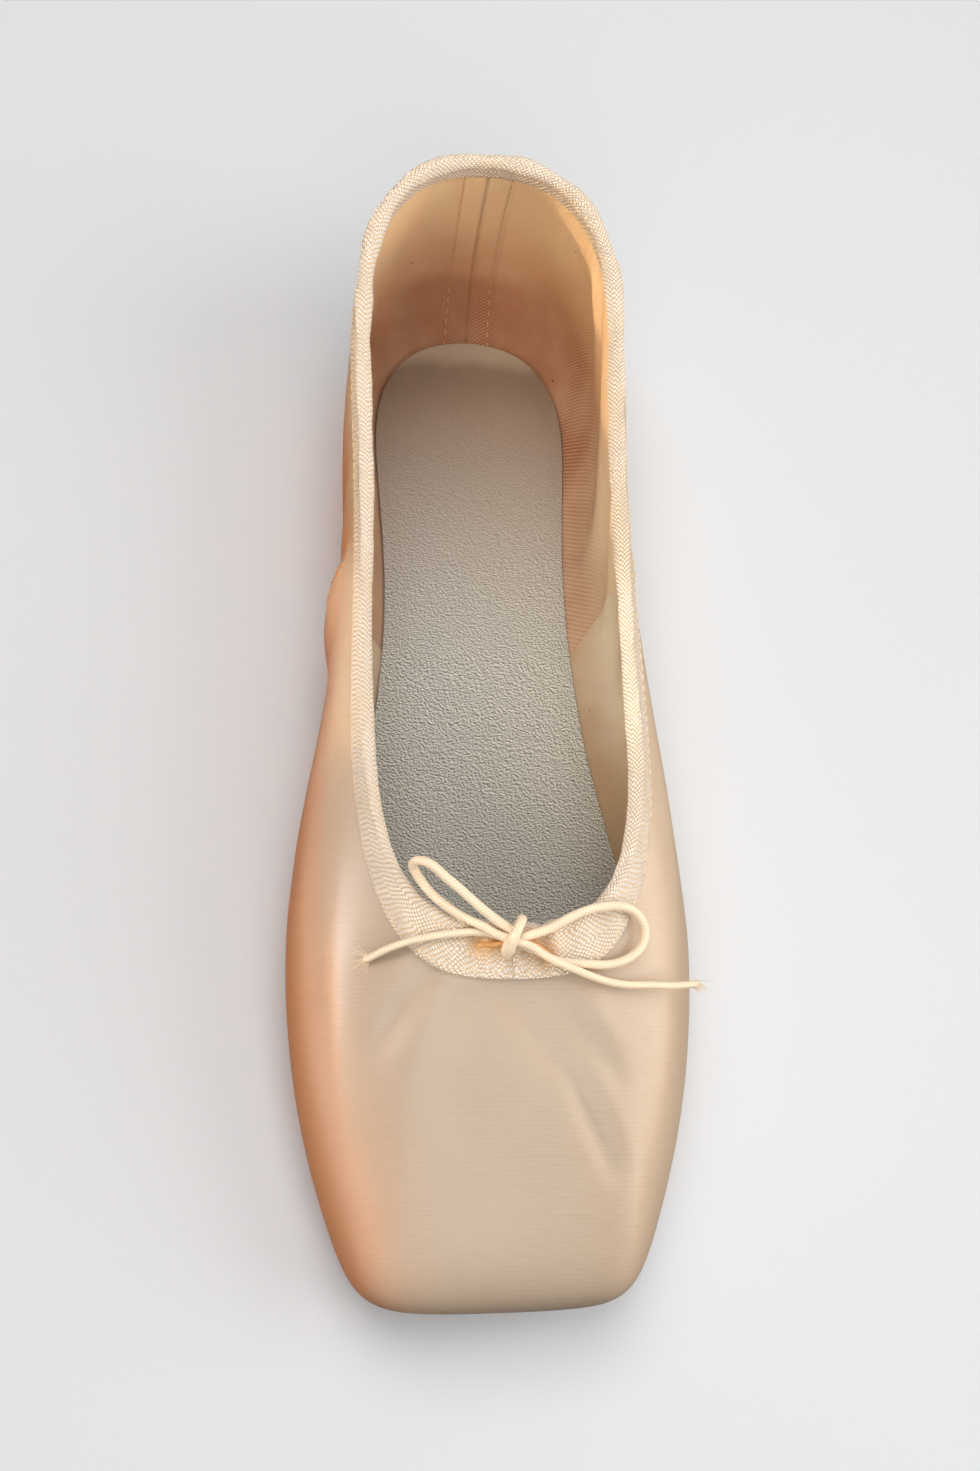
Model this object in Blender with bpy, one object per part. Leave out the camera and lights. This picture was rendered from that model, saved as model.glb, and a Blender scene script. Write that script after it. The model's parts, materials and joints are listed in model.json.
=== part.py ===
"""Pointe shoe: a satin upper on a straight last, with its outsole, insole, edge binding and drawstring bow.

Metres, +Z up. The toe points along -Y and the heel along +Y, and the shoe stands on its outsole at z = 0.
The upper is one skin, worked out from a table of sections that run from under the sole edge to the top edge.
Every other piece takes its size and place from that skin.
"""

import math

import bmesh
import bpy
import numpy as np
from mathutils import Vector

# Driving dimensions of the whole shoe.
LENGTH = 0.236
BALL_WIDTH = 0.084
WAIST_WIDTH = 0.058
HEEL_WIDTH = 0.059
PLATFORM_WIDTH = 0.050
PLATFORM_HEIGHT = 0.024
INSTEP_HEIGHT = 0.048
SIDE_HEIGHT = 0.043
HEEL_HEIGHT = 0.053
VAMP_LENGTH = 0.066
COLLAR_WIDTH = 0.054
TOE_SPRING = 0.0035
ARCH_RISE = 0.0022

# Walls, layers and the running gap between neighbours.
QUARTER_WALL = 0.0013
BOX_WALL = 0.0026
OUTSOLE_THICKNESS = 0.0024
OUTSOLE_BEVEL = 0.0008
INSOLE_THICKNESS = 0.0020
INSOLE_BEVEL = 0.0005
INSOLE_CLEARANCE = 0.0005
BED_CLEARANCE = 0.0008
LASTING_MARGIN = 0.0065
TAPE_THICKNESS = 0.0006
TAPE_OUTSIDE = 0.0085
TAPE_INSIDE = 0.0055
CASING_THICKNESS = 0.00075
CORD_DIAMETER = 0.0016
KNOT_DIAMETER = 0.0030
VAMP_CROWN = 0.0022
HEEL_CURL = 0.0016
GAP = 0.0003

# Shares of the length from the toe: where the toe spring ends, where the arch runs, and where the
# stiffened box thins out into the quarters.
SPRING_END = 0.30
ARCH_START = 0.40
ARCH_END = 0.80
BOX_END = 0.42
BOX_FADE = 0.14
CURL_START = 0.90

# A row for each section of half the upper, from the toe to the heel. Shares of the named sizes:
# wide is the fullest point of the side, foot the sole edge, under the inner edge below the sole,
# corner the turn from the side to the top face, and edge the top edge at the throat and collar.
# An x is a share of half the row's span, but edge_x of half the collar. A y is a share of the length.
# A z is a share of the row's rise, but edge_z of its top. Reach runs along the top edge from the throat
# at 0 to the heel at 1.
COLUMNS = (
    "name span rise top wide_x wide_y wide_z foot_x foot_y under_x under_y "
    "corner_x corner_y corner_z reach edge_x edge_z"
).split()
SECTIONS = (
    ("toe", PLATFORM_WIDTH, PLATFORM_HEIGHT, INSTEP_HEIGHT,
     0.00, -0.004, 0.52, 0.00, 0.004, 0.00, 0.160, 0.00, -0.004, 1.14, 0.000, 0.00, 1.00),
    ("platform", PLATFORM_WIDTH, PLATFORM_HEIGHT, INSTEP_HEIGHT,
     0.62, -0.004, 0.52, 0.60, 0.004, 0.27, 0.164, 0.58, -0.003, 1.12, 0.002, 0.29, 1.00),
    ("corner", PLATFORM_WIDTH, PLATFORM_HEIGHT, INSTEP_HEIGHT,
     1.10, 0.003, 0.52, 1.02, 0.011, 0.49, 0.180, 0.98, 0.004, 1.08, 0.014, 0.54, 1.00),
    ("box", PLATFORM_WIDTH, PLATFORM_HEIGHT, INSTEP_HEIGHT,
     1.34, 0.060, 0.54, 1.16, 0.066, 0.64, 0.212, 1.12, 0.064, 1.12, 0.050, 0.77, 0.99),
    ("wing", BALL_WIDTH, INSTEP_HEIGHT, INSTEP_HEIGHT,
     0.96, 0.150, 0.30, 0.77, 0.150, 0.43, 0.257, 0.80, 0.155, 0.64, 0.110, 0.92, 0.97),
    ("ball", BALL_WIDTH, INSTEP_HEIGHT, INSTEP_HEIGHT,
     1.045, 0.270, 0.34, 0.79, 0.270, 0.44, 0.316, 0.86, 0.270, 0.72, 0.200, 1.00, 0.94),
    ("instep", BALL_WIDTH, SIDE_HEIGHT, SIDE_HEIGHT,
     1.00, 0.380, 0.40, 0.67, 0.380, 0.40, 0.392, 0.88, 0.380, 0.76, 0.310, 1.00, 0.98),
    ("arch", WAIST_WIDTH, SIDE_HEIGHT, SIDE_HEIGHT,
     1.24, 0.490, 0.44, 0.74, 0.490, 0.43, 0.490, 1.14, 0.490, 0.78, 0.440, 1.00, 1.00),
    ("waist", WAIST_WIDTH, SIDE_HEIGHT, SIDE_HEIGHT,
     1.09, 0.610, 0.46, 0.62, 0.610, 0.35, 0.610, 1.05, 0.610, 0.78, 0.580, 1.00, 1.00),
    ("quarter", HEEL_WIDTH, SIDE_HEIGHT, SIDE_HEIGHT,
     1.06, 0.730, 0.48, 0.70, 0.730, 0.40, 0.730, 1.05, 0.730, 0.80, 0.720, 1.03, 1.03),
    ("seat", HEEL_WIDTH, HEEL_HEIGHT, HEEL_HEIGHT,
     1.05, 0.850, 0.42, 0.82, 0.844, 0.45, 0.822, 1.04, 0.850, 0.72, 0.850, 1.05, 0.93),
    ("heel_side", HEEL_WIDTH, HEEL_HEIGHT, HEEL_HEIGHT,
     0.85, 0.950, 0.44, 0.68, 0.918, 0.37, 0.874, 0.84, 0.953, 0.74, 0.942, 0.85, 0.98),
    ("heel_turn", HEEL_WIDTH, HEEL_HEIGHT, HEEL_HEIGHT,
     0.47, 0.995, 0.44, 0.37, 0.946, 0.20, 0.898, 0.47, 0.996, 0.74, 0.991, 0.48, 1.01),
    ("heel", HEEL_WIDTH, HEEL_HEIGHT, HEEL_HEIGHT,
     0.00, 1.004, 0.44, 0.00, 0.954, 0.00, 0.906, 0.00, 1.006, 0.74, 1.002, 0.00, 1.02),
)
ROWS = [dict(zip(COLUMNS, row)) for row in SECTIONS]
ROW_COUNT = len(ROWS)
AROUND = 2 * (ROW_COUNT - 1)

# Where the other control points lie: low on the way from the foot out to the fullest point, and the
# shoulder and the slope on the way from the corner to the top edge.
LOW_SHARE = 0.75
SHOULDER_SHARE = 0.22
SLOPE_SHARE = 0.60

# How finely the solids are cut.
NUDGE = 0.02
STEPS_PER_ROW = 3
OUTSOLE_PLACES = (0.15, 0.4, 0.75, 1.1, 1.5, 2.0, 2.5, 3.0, 3.5, 4.0, 4.5, 5.0, 5.5, 6.0, 6.5, 7.0,
                  7.5, 8.0, 8.5, 9.0, 9.5, 10.0, 10.5, 11.0, 11.4, 11.8, 12.2, 12.6, 12.85)
INSOLE_PLACES = (1.6, 1.9, 2.3, 2.7, 3.0, 3.5, 4.0, 4.5, 5.0, 5.5, 6.0, 6.5, 7.0,
                 7.5, 8.0, 8.5, 9.0, 9.5, 10.0, 10.5, 11.0, 11.4, 11.8, 12.2, 12.6, 12.85)
CASING_ANGLES = [math.radians(angle) for angle in (30, 70, 110, 150)]
SKIN_LEVELS = (0.0, 1.0, 1.45, 1.75, 2.0, 2.25, 2.55, 2.95, 3.5, 4.2, 4.9, 5.4, 5.9, 6.5, 7.2, 8.0)
TOP_LEVEL = 8.0
THIN_LEVEL = 7.2
BED_LEVEL = 1.0
SIDE_LEVEL = 4.0
FOOT_LEVEL = 2.0
OUTER_LEG_SHARES = (0.0, 0.5, 0.95)
INNER_LEG_SHARES = (0.1, 1.0)
LEVEL_STEP = 0.1
HALVINGS = 24
SEAT_LEVELS = 3
SHARP_ANGLE = math.radians(50)
MILLIMETRE = 0.001
CORD_STEP = 1.6 * CORD_DIAMETER
FINE_STEPS = 12

# The drawstring's bow, as it lies: millimetres across, along and up from the middle of the throat's edge.
BOW = {
    "bow_knot": ((0.7, 1.2, 3.4), (-0.4, -1.1, 3.6), (-1.7, -3.2, 3.1)),
    "loop_left": (
        (-2.9, 0.9, 4.6), (-4.6, 2.0, 5.1), (-7.6, 4.2, 6.1), (-10.5, 6.6, 7.1), (-13.3, 8.8, 7.7),
        (-15.7, 11.0, 7.6), (-17.8, 12.0, 6.5), (-18.8, 11.8, 4.7), (-18.3, 10.7, 3.3), (-15.7, 7.2, 2.6),
        (-12.7, 4.5, 2.7), (-9.5, 2.2, 3.2), (-6.1, 0.3, 4.3), (-3.5, -1.3, 4.6),
    ),
    "loop_right": (
        (2.1, -1.4, 3.3), (3.6, -0.9, 3.3), (6.4, 0.1, 3.1), (9.4, 1.6, 3.2), (12.9, 3.2, 3.3),
        (16.4, 4.1, 3.2), (20.2, 4.5, 2.2), (23.5, 3.8, 0.1), (25.4, 1.6, -1.3), (25.5, -0.9, -2.0),
        (24.1, -3.2, -1.8), (21.2, -5.1, -1.1), (17.5, -6.1, -0.1), (13.8, -6.1, 0.9), (10.9, -6.0, 1.3),
        (7.3, -5.4, 1.5), (4.7, -4.2, 1.9),
    ),
    "tail_left": (
        (-2.9, -1.2, 2.6), (-4.4, -0.7, 2.6), (-7.8, -0.5, 2.7), (-11.5, -0.7, 2.3), (-15.3, -1.1, 1.8),
        (-19.1, -1.7, 0.8), (-22.9, -2.7, -0.8), (-25.8, -3.8, -2.9), (-27.1, -4.2, -3.8),
    ),
    "tail_right": (
        (2.6, -3.4, 4.2), (3.9, -4.2, 4.1), (6.9, -5.9, 3.7), (10.5, -7.3, 2.9), (14.1, -8.3, 0.9),
        (18.0, -9.1, -1.1), (22.0, -9.5, -2.4), (26.7, -9.3, -3.9), (31.4, -9.2, -5.3), (36.1, -8.8, -6.1),
    ),
}
FINISH = {
    "satin": ((0.85, 0.66, 0.50), 0.42),
    "leather": ((0.62, 0.45, 0.33), 0.75),
    "sock": ((0.45, 0.42, 0.37), 0.90),
    "tape": ((0.86, 0.70, 0.53), 0.70),
    "cord": ((0.88, 0.75, 0.58), 0.65),
}


def along(share):
    """The y of a share of the length, measured from the toe."""
    return (share - 0.5) * LENGTH


def smooth(share):
    """0 to 1 with level ends."""
    share = min(1.0, max(0.0, share))
    return share * share * (3 - 2 * share)


def sole_line(y):
    """Height of the outsole's underside: flat at heel and ball, raised at the arch and the toe."""
    place = y / LENGTH + 0.5
    middle = (ARCH_START + ARCH_END) / 2
    half = (ARCH_END - ARCH_START) / 2
    arch = ARCH_RISE * smooth(1 - abs(place - middle) / half)
    spring = TOE_SPRING * max(0.0, (SPRING_END - place) / SPRING_END) ** 2
    return arch + spring


def seat_line(y):
    """Height of the upper's underside, just above the outsole."""
    return sole_line(y) + OUTSOLE_THICKNESS + GAP


def mixed(start, end, share):
    """The point or number at a share of the way from start to end."""
    return start + (end - start) * share


def control_column(row):
    """The nine control points of one section, from under the sole edge to the top edge."""
    half = row["span"] / 2
    rise = row["rise"]
    throat_y = along(0) + VAMP_LENGTH
    under = Vector((row["under_x"] * half, along(row["under_y"]), 0))
    foot = Vector((row["foot_x"] * half, along(row["foot_y"]), 0))
    wide = Vector((row["wide_x"] * half, along(row["wide_y"]), row["wide_z"] * rise))
    corner = Vector((row["corner_x"] * half, along(row["corner_y"]), row["corner_z"] * rise))
    edge_y = mixed(throat_y, along(1), row["reach"])
    edge = Vector((row["edge_x"] * COLLAR_WIDTH / 2, edge_y, row["edge_z"] * row["top"]))
    low = mixed(foot, wide, LOW_SHARE)
    low.z = mixed(seat_line(foot.y), wide.z, 0.5)
    crown = Vector((0, 0, VAMP_CROWN * (1 - row["reach"])))
    shoulder = mixed(corner, edge, SHOULDER_SHARE) + crown
    slope = mixed(corner, edge, SLOPE_SHARE) + crown
    return [under, mixed(under, foot, 0.5), foot, low, wide, corner, shoulder, slope, edge]


def control_net():
    """Control points of the whole skin: sections round the shoe, mirrored, by points up each section."""
    right = np.array([control_column(row) for row in ROWS])
    left = right[-2:0:-1] * (-1, 1, 1)
    net = np.concatenate([right, left])
    mixing = (4 * np.eye(AROUND) + np.roll(np.eye(AROUND), 1, 0) + np.roll(np.eye(AROUND), -1, 0)) / 6
    for level in range(SEAT_LEVELS):
        heights = [seat_line(y) for y in mixing @ net[:, level, 1]]
        net[:, level, 2] = np.linalg.solve(mixing, heights)
    return net


NET = control_net()


def weights(share):
    """The four weights of a uniform cubic B-spline, and those of its slope."""
    t = share
    spline = ((1 - t) ** 3, 3 * t**3 - 6 * t**2 + 4, -3 * t**3 + 3 * t**2 + 3 * t + 1, t**3)
    slope = (-3 * (1 - t) ** 2, 9 * t**2 - 12 * t, -9 * t**2 + 6 * t + 3, 3 * t**2)
    return np.array(spline) / 6, np.array(slope) / 6


def skin(around, level):
    """The outer point and outward normal at a place round the shoe and a level up the section."""
    first = math.floor(around)
    across, across_slope = weights(around - first)
    rows = [NET[(first + k) % AROUND] for k in (-1, 0, 1, 2)]
    column = sum(w * row for w, row in zip(across, rows))
    turning = sum(w * row for w, row in zip(across_slope, rows))
    base = min(int(level), len(column) - 2)
    up, up_slope = weights(level - base)
    picks = [extended(column, base + k) for k in (-1, 0, 1, 2)]
    turns = [extended(turning, base + k) for k in (-1, 0, 1, 2)]
    point = sum(w * p for w, p in zip(up, picks))
    rise = sum(w * p for w, p in zip(up_slope, picks))
    turn = sum(w * p for w, p in zip(up, turns))
    normal = np.cross(turn, rise)
    return point, normal / np.linalg.norm(normal)


def extended(points, index):
    """A control point, or the one past either end that makes the spline start and stop there."""
    if index < 0:
        return 2 * points[0] - points[1]
    if index >= len(points):
        return 2 * points[-1] - points[-2]
    return points[index]


def boxed(y):
    """1 within the stiffened box and 0 at the quarters."""
    return smooth((BOX_END - y / LENGTH - 0.5) / BOX_FADE)


def wall(around, level):
    """Wall thickness: thick in the stiffened box, thin at the quarters and along the top edge."""
    point, _ = skin(around, level)
    return mixed(QUARTER_WALL, BOX_WALL, boxed(point[1]) * smooth(THIN_LEVEL - level))


def raised(around, level, clear):
    """The point that lies clear of the upper's outer face."""
    point, normal = skin(around, level)
    return point + normal * clear


def lining(around, level, clear=0.0):
    """The point on the upper's inner face, or clear of it on the inside."""
    point, normal = skin(around, level)
    return point - normal * (wall(around, level) + clear)


def level_from_top(around, distance):
    """The level that lies a distance down the section from its top edge."""
    level = TOP_LEVEL
    last, _ = skin(around, level)
    gone = 0.0
    while level > LEVEL_STEP:
        here, _ = skin(around, level - LEVEL_STEP)
        length = np.linalg.norm(here - last)
        if gone + length >= distance:
            return level - LEVEL_STEP * (distance - gone) / length
        gone += length
        last = here
        level -= LEVEL_STEP
    return level


def loft(name, rings, material, capped):
    """A solid through rings of as many points each, closed into a loop or capped at both ends."""
    mesh = bpy.data.meshes.new(name)
    shape = bmesh.new()
    corners = [[shape.verts.new(point) for point in ring] for ring in rings]
    pairs = list(zip(corners, corners[1:]))
    if not capped:
        pairs.append((corners[-1], corners[0]))
    for near, far in pairs:
        for k in range(len(near)):
            shape.faces.new((near[k - 1], near[k], far[k], far[k - 1]))
    if capped:
        shape.faces.new(corners[0])
        shape.faces.new(corners[-1])
    bmesh.ops.recalc_face_normals(shape, faces=shape.faces[:])
    shape.to_mesh(mesh)
    shape.free()
    mesh.shade_smooth()
    mesh.set_sharp_from_angle(angle=SHARP_ANGLE)
    piece = bpy.data.objects.new(name, mesh)
    mesh.materials.append(material)
    SHOE.objects.link(piece)
    return piece


def finish(name):
    """The material of one finish."""
    colour, roughness = FINISH[name]
    material = bpy.data.materials.new(name)
    material.use_nodes = True
    shader = material.node_tree.nodes["Principled BSDF"]
    shader.inputs["Base Color"].default_value = (*colour, 1)
    shader.inputs["Roughness"].default_value = roughness
    shader.inputs["Metallic"].default_value = 0
    return material


def places_round():
    """The places of the sections that the upper and the binding are cut at."""
    return [step / STEPS_PER_ROW for step in range(AROUND * STEPS_PER_ROW)]


def make_upper():
    """The hollow upper: its skin outside, its lining inside, joined at the throat and under the sole."""
    rings = []
    for around in places_round():
        outer = [skin(around, level)[0] for level in SKIN_LEVELS]
        inner = [lining(around, level) for level in SKIN_LEVELS]
        rings.append(outer + inner[::-1])
    return loft("upper", rings, finish("satin"), capped=False)


def slab(name, stations, material):
    """A layer through cross-sections, each a y and its right edge's half widths and heights."""
    rings = []
    for y, edge in stations:
        mirrored = [(-half, height) for half, height in edge[::-1]]
        rings.append([(x, y, z) for x, z in edge + mirrored])
    return loft(name, rings, material, capped=True)


def outsole_edge(around):
    """The outsole's edge: the lasting edge of the upper, moved outward in plan by the margin."""
    here, _ = skin(around, 0.0)
    after, _ = skin(around + NUDGE, 0.0)
    before, _ = skin(around - NUDGE, 0.0)
    run = (after - before)[:2]
    run = run / np.linalg.norm(run)
    return here[0] + run[1] * LASTING_MARGIN, here[1] - run[0] * LASTING_MARGIN


def make_outsole():
    """The leather outsole, with both flat spots at z = 0 and its edge skived by the bevel."""
    stations = []
    for around in OUTSOLE_PLACES:
        half, y = outsole_edge(around)
        skived = half - OUTSOLE_BEVEL
        low = sole_line(y)
        high = low + OUTSOLE_THICKNESS
        edge = [(skived, low), (half, low + OUTSOLE_BEVEL), (half, high - OUTSOLE_BEVEL), (skived, high)]
        stations.append((y, edge))
    return slab("outsole", stations, finish("leather"))


def fitted_at(around, height):
    """The insole's edge at a height: clear of the lining by the insole's clearance."""
    low = BED_LEVEL
    high = SIDE_LEVEL
    for _ in range(HALVINGS):
        middle = (low + high) / 2
        if lining(around, middle, INSOLE_CLEARANCE)[2] < height:
            low = middle
        else:
            high = middle
    return lining(around, low, INSOLE_CLEARANCE)


def make_insole():
    """The insole: it fills the lining's outline just above the lasting edge and curls up at the heel."""
    stations = []
    for around in INSOLE_PLACES:
        place = skin(around, FOOT_LEVEL)[0][1]
        bed = seat_line(place) + mixed(QUARTER_WALL, BOX_WALL, boxed(place))
        low = max(bed, lining(around, BED_LEVEL)[2]) + BED_CLEARANCE
        low += HEEL_CURL * smooth((place / LENGTH + 0.5 - CURL_START) / (1 - CURL_START))
        high = low + INSOLE_THICKNESS
        heights = (low, low + INSOLE_BEVEL, mixed(low, high, 0.5), high)
        fits = [fitted_at(around, height) for height in heights]
        stations.append((fits[0][1], [(fit[0], height) for fit, height in zip(fits, heights)]))
    return slab("insole", stations, finish("sock"))


def edge_frame(around):
    """The middle of the top edge's wall, with the directions outward and up the wall."""
    point, normal = skin(around, TOP_LEVEL)
    lower, _ = skin(around, TOP_LEVEL - NUDGE)
    upward = point - lower
    upward = upward / np.linalg.norm(upward)
    return point - normal * QUARTER_WALL / 2, normal, upward


def make_binding():
    """The tape folded over the top edge: a leg outside, a rolled casing over the edge and a leg inside."""
    rings = []
    within = QUARTER_WALL / 2 + GAP
    for around in places_round():
        middle, outward, upward = edge_frame(around)
        outside = level_from_top(around, TAPE_OUTSIDE)
        inside = level_from_top(around, TAPE_INSIDE)
        outer_levels = [mixed(outside, TOP_LEVEL, share) for share in OUTER_LEG_SHARES]
        inner_levels = [mixed(TOP_LEVEL, inside, share) for share in INNER_LEG_SHARES]
        ring = [raised(around, level, GAP + TAPE_THICKNESS) for level in outer_levels]
        for angle in CASING_ANGLES:
            turn = outward * math.cos(angle) + upward * math.sin(angle)
            ring.append(middle + turn * (within + CASING_THICKNESS))
        ring += [lining(around, level, GAP + TAPE_THICKNESS) for level in inner_levels]
        ring += [lining(around, level, GAP) for level in inner_levels[::-1]]
        for angle in CASING_ANGLES[::-1]:
            turn = outward * math.cos(angle) + upward * math.sin(angle)
            ring.append(middle + turn * within)
        ring += [raised(around, level, GAP) for level in outer_levels[::-1]]
        rings.append(ring)
    return loft("binding", rings, finish("tape"), capped=False)


def smooth_route(points):
    """Points an equal step apart along a smooth curve through the given points."""
    points = [2 * points[0] - points[1]] + points + [2 * points[-1] - points[-2]]
    fine = []
    for k in range(1, len(points) - 2):
        before, start, end, after = points[k - 1:k + 3]
        for step in range(FINE_STEPS):
            t = step / FINE_STEPS
            bend = (2 * before - 5 * start + 4 * end - after) * t * t
            swing = (3 * (start - end) + after - before) * t**3
            fine.append((2 * start + (end - before) * t + bend + swing) / 2)
    fine.append(points[-2])
    reach = [0.0]
    for start, end in zip(fine, fine[1:]):
        reach.append(reach[-1] + (end - start).length)
    count = max(2, round(reach[-1] / CORD_STEP))
    places = np.linspace(0, reach[-1], count + 1)
    columns = [np.interp(places, reach, [point[axis] for point in fine]) for axis in range(3)]
    return np.array(columns).T


def make_cord(name, diameter, material):
    """One stretch of the drawstring, a tube along its route."""
    throat, _, _ = edge_frame(0)
    route = [Vector(throat) + Vector(offset) * MILLIMETRE for offset in BOW[name]]
    curve = bpy.data.curves.new(name, "CURVE")
    curve.dimensions = "3D"
    curve.bevel_depth = diameter / 2
    curve.bevel_resolution = 2
    curve.use_fill_caps = True
    spline = curve.splines.new("POLY")
    points = smooth_route(route)
    spline.points.add(len(points) - 1)
    for knot, point in zip(spline.points, points):
        knot.co = (*point, 1)
    curve.materials.append(material)
    SHOE.objects.link(bpy.data.objects.new(name, curve))


for old in list(bpy.data.objects):
    bpy.data.objects.remove(old)
SHOE = bpy.data.collections.new("pointe_shoe")
bpy.context.scene.collection.children.link(SHOE)
make_upper()
make_outsole()
make_insole()
make_binding()
CORD_FINISH = finish("cord")
make_cord("bow_knot", KNOT_DIAMETER, CORD_FINISH)
for stretch in ("loop_left", "loop_right", "tail_left", "tail_right"):
    make_cord(stretch, CORD_DIAMETER, CORD_FINISH)
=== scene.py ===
# %% [markdown]
# # One pointe shoe, dressed
# The frame holds a plain solid for each part of the shoe, at its real size. This script puts the real
# surfaces over them: satin and its lining, a woven binding, a suede insole, a leather sole, stitches, and
# a drawstring tied in a bow. It ends with the floor and the lights.
#
# Everything is in metres, the toe points along -Y, and the shoe stands on z = 0.

# %% Open the frame
import json
import math

import bmesh
import bpy
import numpy as np
from mathutils import Matrix, Vector

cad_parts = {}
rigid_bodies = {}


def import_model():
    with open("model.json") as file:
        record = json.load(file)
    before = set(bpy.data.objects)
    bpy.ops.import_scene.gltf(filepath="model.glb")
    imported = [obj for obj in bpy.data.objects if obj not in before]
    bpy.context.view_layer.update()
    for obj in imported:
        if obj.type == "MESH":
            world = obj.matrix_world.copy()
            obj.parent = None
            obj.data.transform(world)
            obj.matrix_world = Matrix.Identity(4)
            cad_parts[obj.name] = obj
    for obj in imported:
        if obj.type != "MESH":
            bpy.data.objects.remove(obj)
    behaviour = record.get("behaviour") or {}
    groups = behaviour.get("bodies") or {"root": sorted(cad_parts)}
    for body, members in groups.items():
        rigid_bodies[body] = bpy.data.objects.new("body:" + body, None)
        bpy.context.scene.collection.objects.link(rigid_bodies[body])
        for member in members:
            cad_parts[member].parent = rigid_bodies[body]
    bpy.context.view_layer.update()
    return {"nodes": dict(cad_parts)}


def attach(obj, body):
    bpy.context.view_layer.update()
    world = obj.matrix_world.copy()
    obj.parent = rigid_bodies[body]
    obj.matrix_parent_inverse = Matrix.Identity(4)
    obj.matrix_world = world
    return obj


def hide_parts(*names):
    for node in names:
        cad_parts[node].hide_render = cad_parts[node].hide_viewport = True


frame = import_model()
MM = 0.001
print("solids in the frame:", ", ".join(sorted(frame["nodes"])))

# %% [markdown]
# ## The camera
# The photographer looked steeply down over the toe, through a short lens, so the toe looks large and the
# heel small. A short lens from the right place gives that for nothing; stretching the shoe would not.
# The eye stays where the photographer's was and only turns sideways, to bring the shoe from the right of
# the picture to its middle.

# %% Place the camera
PHOTO_TALL = 1471
PHOTO_FOCAL = 1471.5
SHOE_OFF_CENTRE = 210
LOOK_DOWN = math.radians(71)
SHOE_TURN = math.radians(1)
EYE = Vector((-41.8, -105.8, 314.5)) * MM
SENSOR_TALL = 24

lens = bpy.data.cameras.new("camera")
lens.sensor_fit = "VERTICAL"
lens.sensor_height = SENSOR_TALL
lens.lens = SENSOR_TALL * PHOTO_FOCAL / PHOTO_TALL
lens.clip_start = 0.01
camera = bpy.data.objects.new("camera", lens)
look = Matrix.Rotation(SHOE_TURN, 4, "Z") @ Matrix.Rotation(math.pi / 2 - LOOK_DOWN, 4, "X")
centring = Matrix.Rotation(-math.atan(SHOE_OFF_CENTRE / PHOTO_FOCAL), 4, "Y")
camera.matrix_world = Matrix.Translation(EYE) @ look @ centring
bpy.context.scene.collection.objects.link(camera)
bpy.context.scene.camera = camera
print(f"camera {EYE.z * 1000:.0f} mm above the floor, lens {lens.lens:.1f} mm")

# %% [markdown]
# ## The last
# A shoe is built round a last, a block in the shape of a foot. Here the last is one smooth skin: a net of
# control points, in sections from the toe to the heel, blended by a cubic B-spline. Sculpting would give
# a shape too, but a skin with two coordinates, the place round the shoe and the level up the section, also
# says where a seam, a tape or a crease runs. The table is the one that the solids were built from, so all
# that is made here fits over them.

# %% Sizes of the shoe
LENGTH, BALL_WIDTH, WAIST_WIDTH, HEEL_WIDTH = 0.236, 0.084, 0.058, 0.059
PLATFORM_WIDTH, PLATFORM_HEIGHT = 0.050, 0.024
INSTEP_HEIGHT, SIDE_HEIGHT, HEEL_HEIGHT = 0.048, 0.043, 0.053
VAMP_LENGTH, COLLAR_WIDTH = 0.066, 0.054
TOE_SPRING, ARCH_RISE = 0.0035, 0.0022
QUARTER_WALL, BOX_WALL = 0.0013, 0.0026
OUTSOLE_THICKNESS, OUTSOLE_BEVEL = 0.0024, 0.0008
INSOLE_THICKNESS, INSOLE_CLEARANCE, BED_CLEARANCE = 0.0020, 0.0005, 0.0008
LASTING_MARGIN = 0.0065
TAPE_OUTSIDE, TAPE_INSIDE, TAPE_THICKNESS, CASING_THICKNESS = 0.0085, 0.0030, 0.0006, 0.00075
CORD_DIAMETER = 0.0016
VAMP_CROWN, HEEL_CURL, GAP = 0.0022, 0.0016, 0.0003
SPRING_END, ARCH_START, ARCH_END, BOX_END, BOX_FADE, CURL_START = 0.30, 0.40, 0.80, 0.42, 0.14, 0.90

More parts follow.
